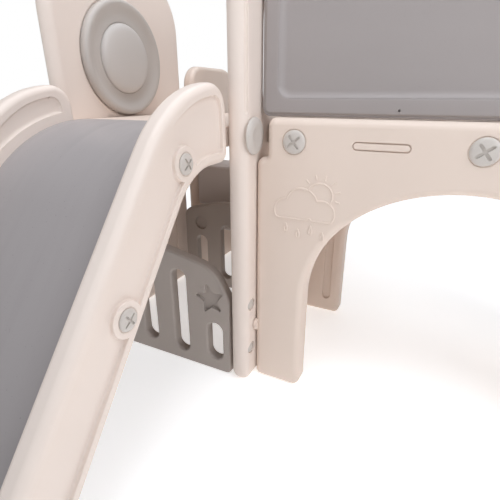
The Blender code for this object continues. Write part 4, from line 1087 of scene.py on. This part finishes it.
@dataclass
class Slide:
    """The chute between its two moulded rails."""

    finishes: Finishes
    slope: float = math.radians(51.78)
    crest: tuple[float, float, float] = (-0.026, 0.589, 0.320)
    foot_radius: float = 0.290
    runout: tuple[float, float] = (-0.832, 0.070)
    bed_thick: float = 0.042
    lip: float = 0.015
    rail_peak: float = 0.6653
    rail_tilt: float = math.radians(5.1)
    rail_bottom: float = 0.520
    rail_back: float = -0.036
    rail_lean: float = 0.005
    rail_end: float = -0.838
    rail_end_top: float = 0.112
    rail_feet: tuple[float, float] = (-0.7112, -0.5627)
    rim: float = 0.021
    web: float = 0.0078
    field_rim: float = 0.022
    field_depth: float = 0.006
    field_lift: float = 0.019
    field_ends: tuple[float, float] = (-0.600, 0.010)
    bosses: tuple = ((-0.1786, 0.536), (-0.3456, 0.3357), (-0.770, 0.049))
    boss_radius: float = 0.0294

    def path(self, drop: float) -> Outline:
        """Return the chute's surface from the tower to the run-out, lowered by a depth."""
        crest_y, crest_z, crest_r = self.crest
        steps = 26
        points: Outline = []
        for index in range(steps + 1):
            angle = self.slope * index / steps
            points.append((crest_y - (crest_r - drop) * math.sin(angle),
                           crest_z - crest_r + (crest_r - drop) * math.cos(angle)))
        low_z = self.runout[1] + self.foot_radius
        foot_z = low_z - self.foot_radius * math.cos(self.slope)
        end_z = crest_z - crest_r + crest_r * math.cos(self.slope)
        end_y = crest_y - crest_r * math.sin(self.slope)
        low_y = end_y - (end_z - foot_z) / math.tan(self.slope) - self.foot_radius * math.sin(self.slope)
        for index in range(steps + 1):
            angle = self.slope * (1 - index / steps)
            points.append((low_y + (self.foot_radius + drop) * math.sin(angle),
                           low_z - (self.foot_radius + drop) * math.cos(angle)))
        return points

    def rail_corners(self, trim: float = 0.0) -> list[Corner]:
        """Return the corners of a rail's outline, with its rear end trimmed by a length."""
        steep, tilt = math.tan(self.slope), math.tan(self.rail_tilt)
        upper, lower = self.rail_feet
        peak = self.rail_back - self.rail_lean
        bend = (self.rail_peak - tilt * peak + steep * upper) / (steep - tilt)
        return [(self.rail_back - trim, self.rail_bottom, 0.022),
                (peak - trim, self.rail_peak - tilt * trim, 0.0455),
                (bend, steep * (bend - upper), 0.244),
                (upper + self.rail_end_top / steep, self.rail_end_top, 0.230),
                (self.rail_end, self.rail_end_top, 0.040), (self.rail_end, 0.0, 0.022),
                (lower, 0.0, 0.150), (lower + self.rail_bottom / steep, self.rail_bottom, 0.130)]

    def field(self) -> Outline:
        """Return the outline of the sunk field inside a rail, between its rim and the chute's."""
        front, trim = self.field_ends
        rim = rounded(inset(self.rail_corners(trim), self.field_rim, 0.010), math.radians(3.0))
        path = self.path(-self.field_lift)
        room = 0.012
        roof = [p for p in rim if p[0] > front + room and p[1] > height_at(path, p[0]) + room]
        back = roof[0][0]
        sill = sorted(p for p in path if front + room < p[0] < back - room)
        ends = [(front, height_at(rim[:len(rim) // 2], front)), (front, height_at(path, front))]
        return [(back, height_at(path, back))] + roof + ends + sill

    def bed(self) -> None:
        """Build the chute's bed."""
        low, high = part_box("slide_bed")
        left, right = low.x - RIGHT_WALL_FACE, high.x - RIGHT_WALL_FACE
        end, end_z = self.runout
        crest_z = self.crest[1]
        deck_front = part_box("tower_deck")[0].y - ARCH_FACE - HAIR
        shoulder = crest_z - 0.002 - self.lip + HAIR
        outline = [(high.y - ARCH_FACE, crest_z - 0.002), (high.y - ARCH_FACE - 0.002, crest_z)] + self.path(0.0)
        outline += [(end + 0.008, end_z), (end + 0.003, end_z - 0.002), (end, end_z - 0.008),
                    (end, end_z - self.bed_thick + 0.004), (end + 0.004, end_z - self.bed_thick)]
        outline += list(reversed(self.path(self.bed_thick)))
        outline += [(deck_front, crest_z - self.bed_thick), (deck_front, shoulder), (high.y - ARCH_FACE, shoulder)]
        bed = prism("chute", outline, Plane.ALONG, left, right)
        hollow = [p for p in self.path(0.012) if -0.70 < p[0] < -0.09]
        hollow += [(-0.735, 0.0), (-0.640, 0.0), (-0.09, 0.47)]
        middle = (left + right) / 2
        for start, stop in ((left + 0.045, middle - 0.006), (middle + 0.006, right - 0.045)):
            combine(bed, prism("hollow", hollow, Plane.ALONG, start, stop), "DIFFERENCE")
        hand_over(bed, self.finishes.chute, ["slide_bed"])

    def web_cutter(self, face: float, inward: float, depth: float, with_bosses: bool) -> bpy.types.Object:
        """Model the cutter for a rail's sunk web.

        Args:
            face: Where the rail's face lies across the slide.
            inward: +1 or -1, the way into the rail.
            depth: Depth of the web.
            with_bosses: Whether the screws' bosses stay standing.

        Returns:
            The cutter, with the rounding of the web's floor.
        """
        floor = face + inward * depth
        outline = rounded(inset(self.rail_corners(), self.rim, 0.008)) if with_bosses else self.field()
        cutter = prism("web", outline, Plane.ALONG, *sorted((face - inward * 0.01, floor)))
        if with_bosses:
            for y, z in self.bosses:
                combine(cutter, prism("boss", ring(y, z, self.boss_radius), Plane.ALONG,
                                      *sorted((face - inward * 0.02, floor + inward * 0.01))), "DIFFERENCE")
        soften(cutter, depth * (0.35 if with_bosses else 1.2), 5, lies_at(Plane.ALONG, floor))
        return cutter

    def rail(self, node: str, side: float) -> None:
        """Build one rail; side is +1 for the right one."""
        low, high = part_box(node)
        left, right = low.x - RIGHT_WALL_FACE, high.x - RIGHT_WALL_FACE
        rail = prism(node + "_shell", rounded(self.rail_corners(), math.radians(4.0)), Plane.ALONG, left, right)
        for face in (left, right):
            soften(rail, 0.0135, 7, lies_at(Plane.ALONG, face))
        outer, inner = (right, left) if side > 0 else (left, right)
        cut(rail, [self.web_cutter(outer, -side, self.web, True)])
        combine(rail, self.web_cutter(inner, side, self.field_depth, False), "DIFFERENCE", "MANIFOLD")
        seat = [(0.0, -0.02), (0.0197, -0.02), (0.0197, -0.0002), (0.0190, 0.0014), (0.0, 0.0014)]
        cut(rail, [turned("seat", seat, at(outer, y, z), Vector((-side, 0, 0)), 48) for y, z in self.bosses])
        soften(rail, 0.0014, 3, lies_at(Plane.ALONG, outer))
        hand_over(rail, self.finishes.wall, [node])

    def build(self) -> None:
        """Build the chute and the rails."""
        self.bed()
        self.rail("slide_rail_right", 1.0)
        self.rail("slide_rail_left", -1.0)


# Play wheel

@dataclass
class PlayWheel:
    """The dished wheel and its domed hub cap on the left wall."""

    finishes: Finishes

    def build(self) -> None:
        """Build the wheel and the cap."""
        joint = frame["joints"][0]
        centre, axis = Vector(joint["pos_m"]), Vector(joint["axis"])
        low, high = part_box("play_wheel")
        r = (high.z - low.z) / 2
        dish = [(0.0843, 0.0072), (0.0850, 0.0088), (0.0870, 0.0094), (0.0920, 0.0090), (0.0980, 0.0086),
                (0.1050, 0.0092), (0.1120, 0.0116), (0.1180, 0.0148), (0.1230, 0.0171), (0.1275, 0.0180),
                (0.1315, 0.0174), (0.1345, 0.0152), (0.1363, 0.0120), (r, 0.0080), (r, 0.0010),
                (r - 0.001, -0.0027), (0.030, -0.0027), (0.030, 0.0060)]
        wheel = turned("wheel_disc", dish, centre, axis, 128)
        hand_over(wheel, self.finishes.wheel, ["play_wheel"], Body.WHEEL)
        cap = [(0.0, 0.0240), (0.0250, 0.0238), (0.0460, 0.0232), (0.0600, 0.0223), (0.0690, 0.0210),
               (0.0745, 0.0193), (0.0785, 0.0170), (0.0813, 0.0143), (0.0830, 0.0113), (0.0836, 0.0090),
               (0.0836, 0.0070), (0.0, 0.0070)]
        hub = turned("wheel_cap", cap, centre, axis, 96)
        # The cap's paler finish is a painted highlight for its dome's sheen.
        hand_over(hub, self.finishes.hub, ["wheel_hub_cap"], Body.WHEEL)


# Rear stairs

@dataclass
class Stairs:
    """The rear stairs: two sides with a window under the hand rail, three treads and a sill."""

    finishes: Finishes
    top: float = 0.730
    edge: float = 0.0135

    def side(self, node: str) -> None:
        """Build one side."""
        low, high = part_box(node)
        left, right = low.x - RIGHT_WALL_FACE, high.x - RIGHT_WALL_FACE
        near, far = low.y - ARCH_FACE, high.y - ARCH_FACE
        corners = [(near, 0.0, 0.022), (far, 0.0, 0.022), (far, 0.300, 0.090), (0.715, self.top, 0.110),
                   (near, self.top, 0.060)]
        window = [(0.632, 0.325, 0.030), (0.812, 0.325, 0.030), (0.700, 0.560, 0.040), (0.632, 0.560, 0.030)]
        panel = prism(node + "_shell", rounded(corners), Plane.ALONG, left, right)
        cut(panel, [prism("window", rounded(window), Plane.ALONG, left - 0.01, right + 0.01)])
        for face in (left, right):
            soften(panel, self.edge, 7, lies_at(Plane.ALONG, face))
        outer = right if "right" in node else left
        way_in = Vector((-1, 0, 0)) if "right" in node else Vector((1, 0, 0))
        seat = [(0.0, -0.02), (0.0197, -0.02), (0.0197, -0.0002), (0.0190, 0.0014), (0.0, 0.0014)]
        spots = [(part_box(step)[0].y + 0.075 - ARCH_FACE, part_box(step)[1].z - 0.040)
                 for step in ("step_1", "step_2", "step_3")]
        cut(panel, [turned("seat", seat, at(outer, y, z), way_in, 48) for y, z in spots])
        hand_over(panel, self.finishes.cream, [node])

    def tread(self, node: str) -> None:
        """Build one tread with rounded nosing and grip grooves."""
        low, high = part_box(node)
        tread = block(node + "_tread", low, high, 0.011, 5)
        cut(tread, [block("groove", Vector((low.x + 0.03, low.y + 0.028 + 0.0225 * n, high.z - 0.0015)),
                          Vector((high.x - 0.03, low.y + 0.033 + 0.0225 * n, high.z + 0.01)), 0.0)
                    for n in range(5)])
        # The treads' pale finish is partly painted light.
        hand_over(tread, self.finishes.step, [node])

    def build(self) -> None:
        """Build the stairs."""
        for node in ("stair_side_right", "stair_side_left"):
            self.side(node)
        for node in ("step_1", "step_2", "step_3"):
            self.tread(node)
        low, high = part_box("stair_sill")
        hand_over(block("sill", low, high, 0.0065, 5), self.finishes.cream, ["stair_sill"])


# Studio

@dataclass
class Studio:
    """Floor, lights and camera."""

    eye: tuple[float, float, float] = (0.3364, -0.7046, 0.640)
    pitch: float = math.radians(68.3)
    yaw: float = math.radians(26.3)
    lens: float = 27.94
    glow: tuple[float, float, float, float] = (0.98, 1.0, 1.03, 1.0)
    glow_strength: float = 0.05
    floor_glow: float = 0.46
    lamp_tint: tuple[float, float, float] = (0.96, 1.0, 1.055)

    def floor(self) -> None:
        """Build the pale floor, which glows: dimmer near the set and full white far out, its emission lights the set
        from below and lightens the set's shadow on it.
        """
        bpy.ops.object.select_all(action="DESELECT")
        bpy.ops.mesh.primitive_plane_add(size=60.0)
        floor = bpy.context.object
        floor.name = "floor"
        shader = Shader("floor paper")
        tone = shader.noise(3.0, 2.0).above(0.3, 0.7)
        colour = shader.blend(tone, (0.955, 0.953, 0.95, 1.0), (0.97, 0.968, 0.965, 1.0))
        reach = shader.node("ShaderNodeVectorMath", "Value", {"operation": "LENGTH"}, {0: shader.place})
        # The floor glows, dimmer near the set: the glow lights the set from below and lightens its shadow on the
        # floor.
        near = self.floor_glow
        glow = shader.blend(reach.above(1.2, 3.5), (near, near, near, 1.0), (1.0, 1.0, 1.0, 1.0))
        floor.data.materials.append(shader.surface_takes(
            Base_Color=colour, Roughness=0.9, Emission_Color=glow, Emission_Strength=1.0))

    def lamp(self, name: str, place: Vector, aim: Vector, size: float, power: float) -> None:
        """Hang one square soft light.

        Args:
            name: Name of the light.
            place: Where it hangs.
            aim: What it points at.
            size: Length of its sides.
            power: Its power in watts.
        """
        light = bpy.data.lights.new(name, "AREA")
        light.shape = "SQUARE"
        light.size = size
        light.energy = power
        light.color = self.lamp_tint
        lamp = bpy.data.objects.new(name, light)
        lamp.location = place
        lamp.rotation_euler = (aim - place).to_track_quat("-Z", "Y").to_euler()
        bpy.context.scene.collection.objects.link(lamp)

    def sky(self) -> None:
        """Make the world: pure white behind the set, softer where it only lights it."""
        world = bpy.data.worlds.new("studio")
        world.use_nodes = True
        tree = world.node_tree
        glow, output = tree.nodes["Background"], tree.nodes["World Output"]
        glow.inputs["Color"].default_value = self.glow
        glow.inputs["Strength"].default_value = self.glow_strength
        white = tree.nodes.new("ShaderNodeBackground")
        white.inputs["Color"].default_value = (1.0, 1.0, 1.0, 1.0)
        white.inputs["Strength"].default_value = 1.0
        seen = tree.nodes.new("ShaderNodeLightPath")
        mix = tree.nodes.new("ShaderNodeMixShader")
        tree.links.new(seen.outputs["Is Camera Ray"], mix.inputs[0])
        tree.links.new(glow.outputs[0], mix.inputs[1])
        tree.links.new(white.outputs[0], mix.inputs[2])
        tree.links.new(mix.outputs[0], output.inputs["Surface"])
        bpy.context.scene.world = world

    def build(self) -> None:
        """Build the studio."""
        self.floor()
        aim = at(0.0, 0.1, 0.45)
        self.lamp("key", at(1.5, -0.6, 1.7), aim, 1.0, 17.5)
        self.lamp("front", at(-1.0, -2.6, 2.6), aim, 2.2, 17.5)
        self.lamp("top", at(0.0, -0.5, 2.6), aim, 1.2, 24.0)
        self.lamp("back", at(0.0, 1.0, 2.6), aim, 2.0, 27.0)
        self.sky()
        bpy.context.scene.view_settings.view_transform = "Standard"
        camera = bpy.data.cameras.new("camera")
        camera.lens = self.lens
        camera.sensor_width = 36.0
        holder = bpy.data.objects.new("camera", camera)
        holder.location = at(*self.eye)
        holder.rotation_euler = (self.pitch, 0.0, self.yaw)
        bpy.context.scene.collection.objects.link(holder)
        bpy.context.scene.camera = holder


def main() -> None:
    """Build every sub-assembly in order."""
    logging.basicConfig(level=logging.INFO, format="%(message)s")
    finishes = Finishes()
    Walls(finishes).build()
    Platforms(finishes).build()
    Fence(finishes, "fence_front").build()
    Fence(finishes, "fence_rear").build()
    ArchPanel(finishes, "arch_panel_front", 1.0, relief=True).build()
    ArchPanel(finishes, "arch_panel_rear", -1.0).build()
    GuardBoard(finishes, "guard_board_front", 1.0).build()
    GuardBoard(finishes, "guard_board_rear", -1.0).build()
    Slide(finishes).build()
    PlayWheel(finishes).build()
    Stairs(finishes).build()
    Fasteners(finishes).build()
    Studio().build()


if __name__ == "__main__":
    main()
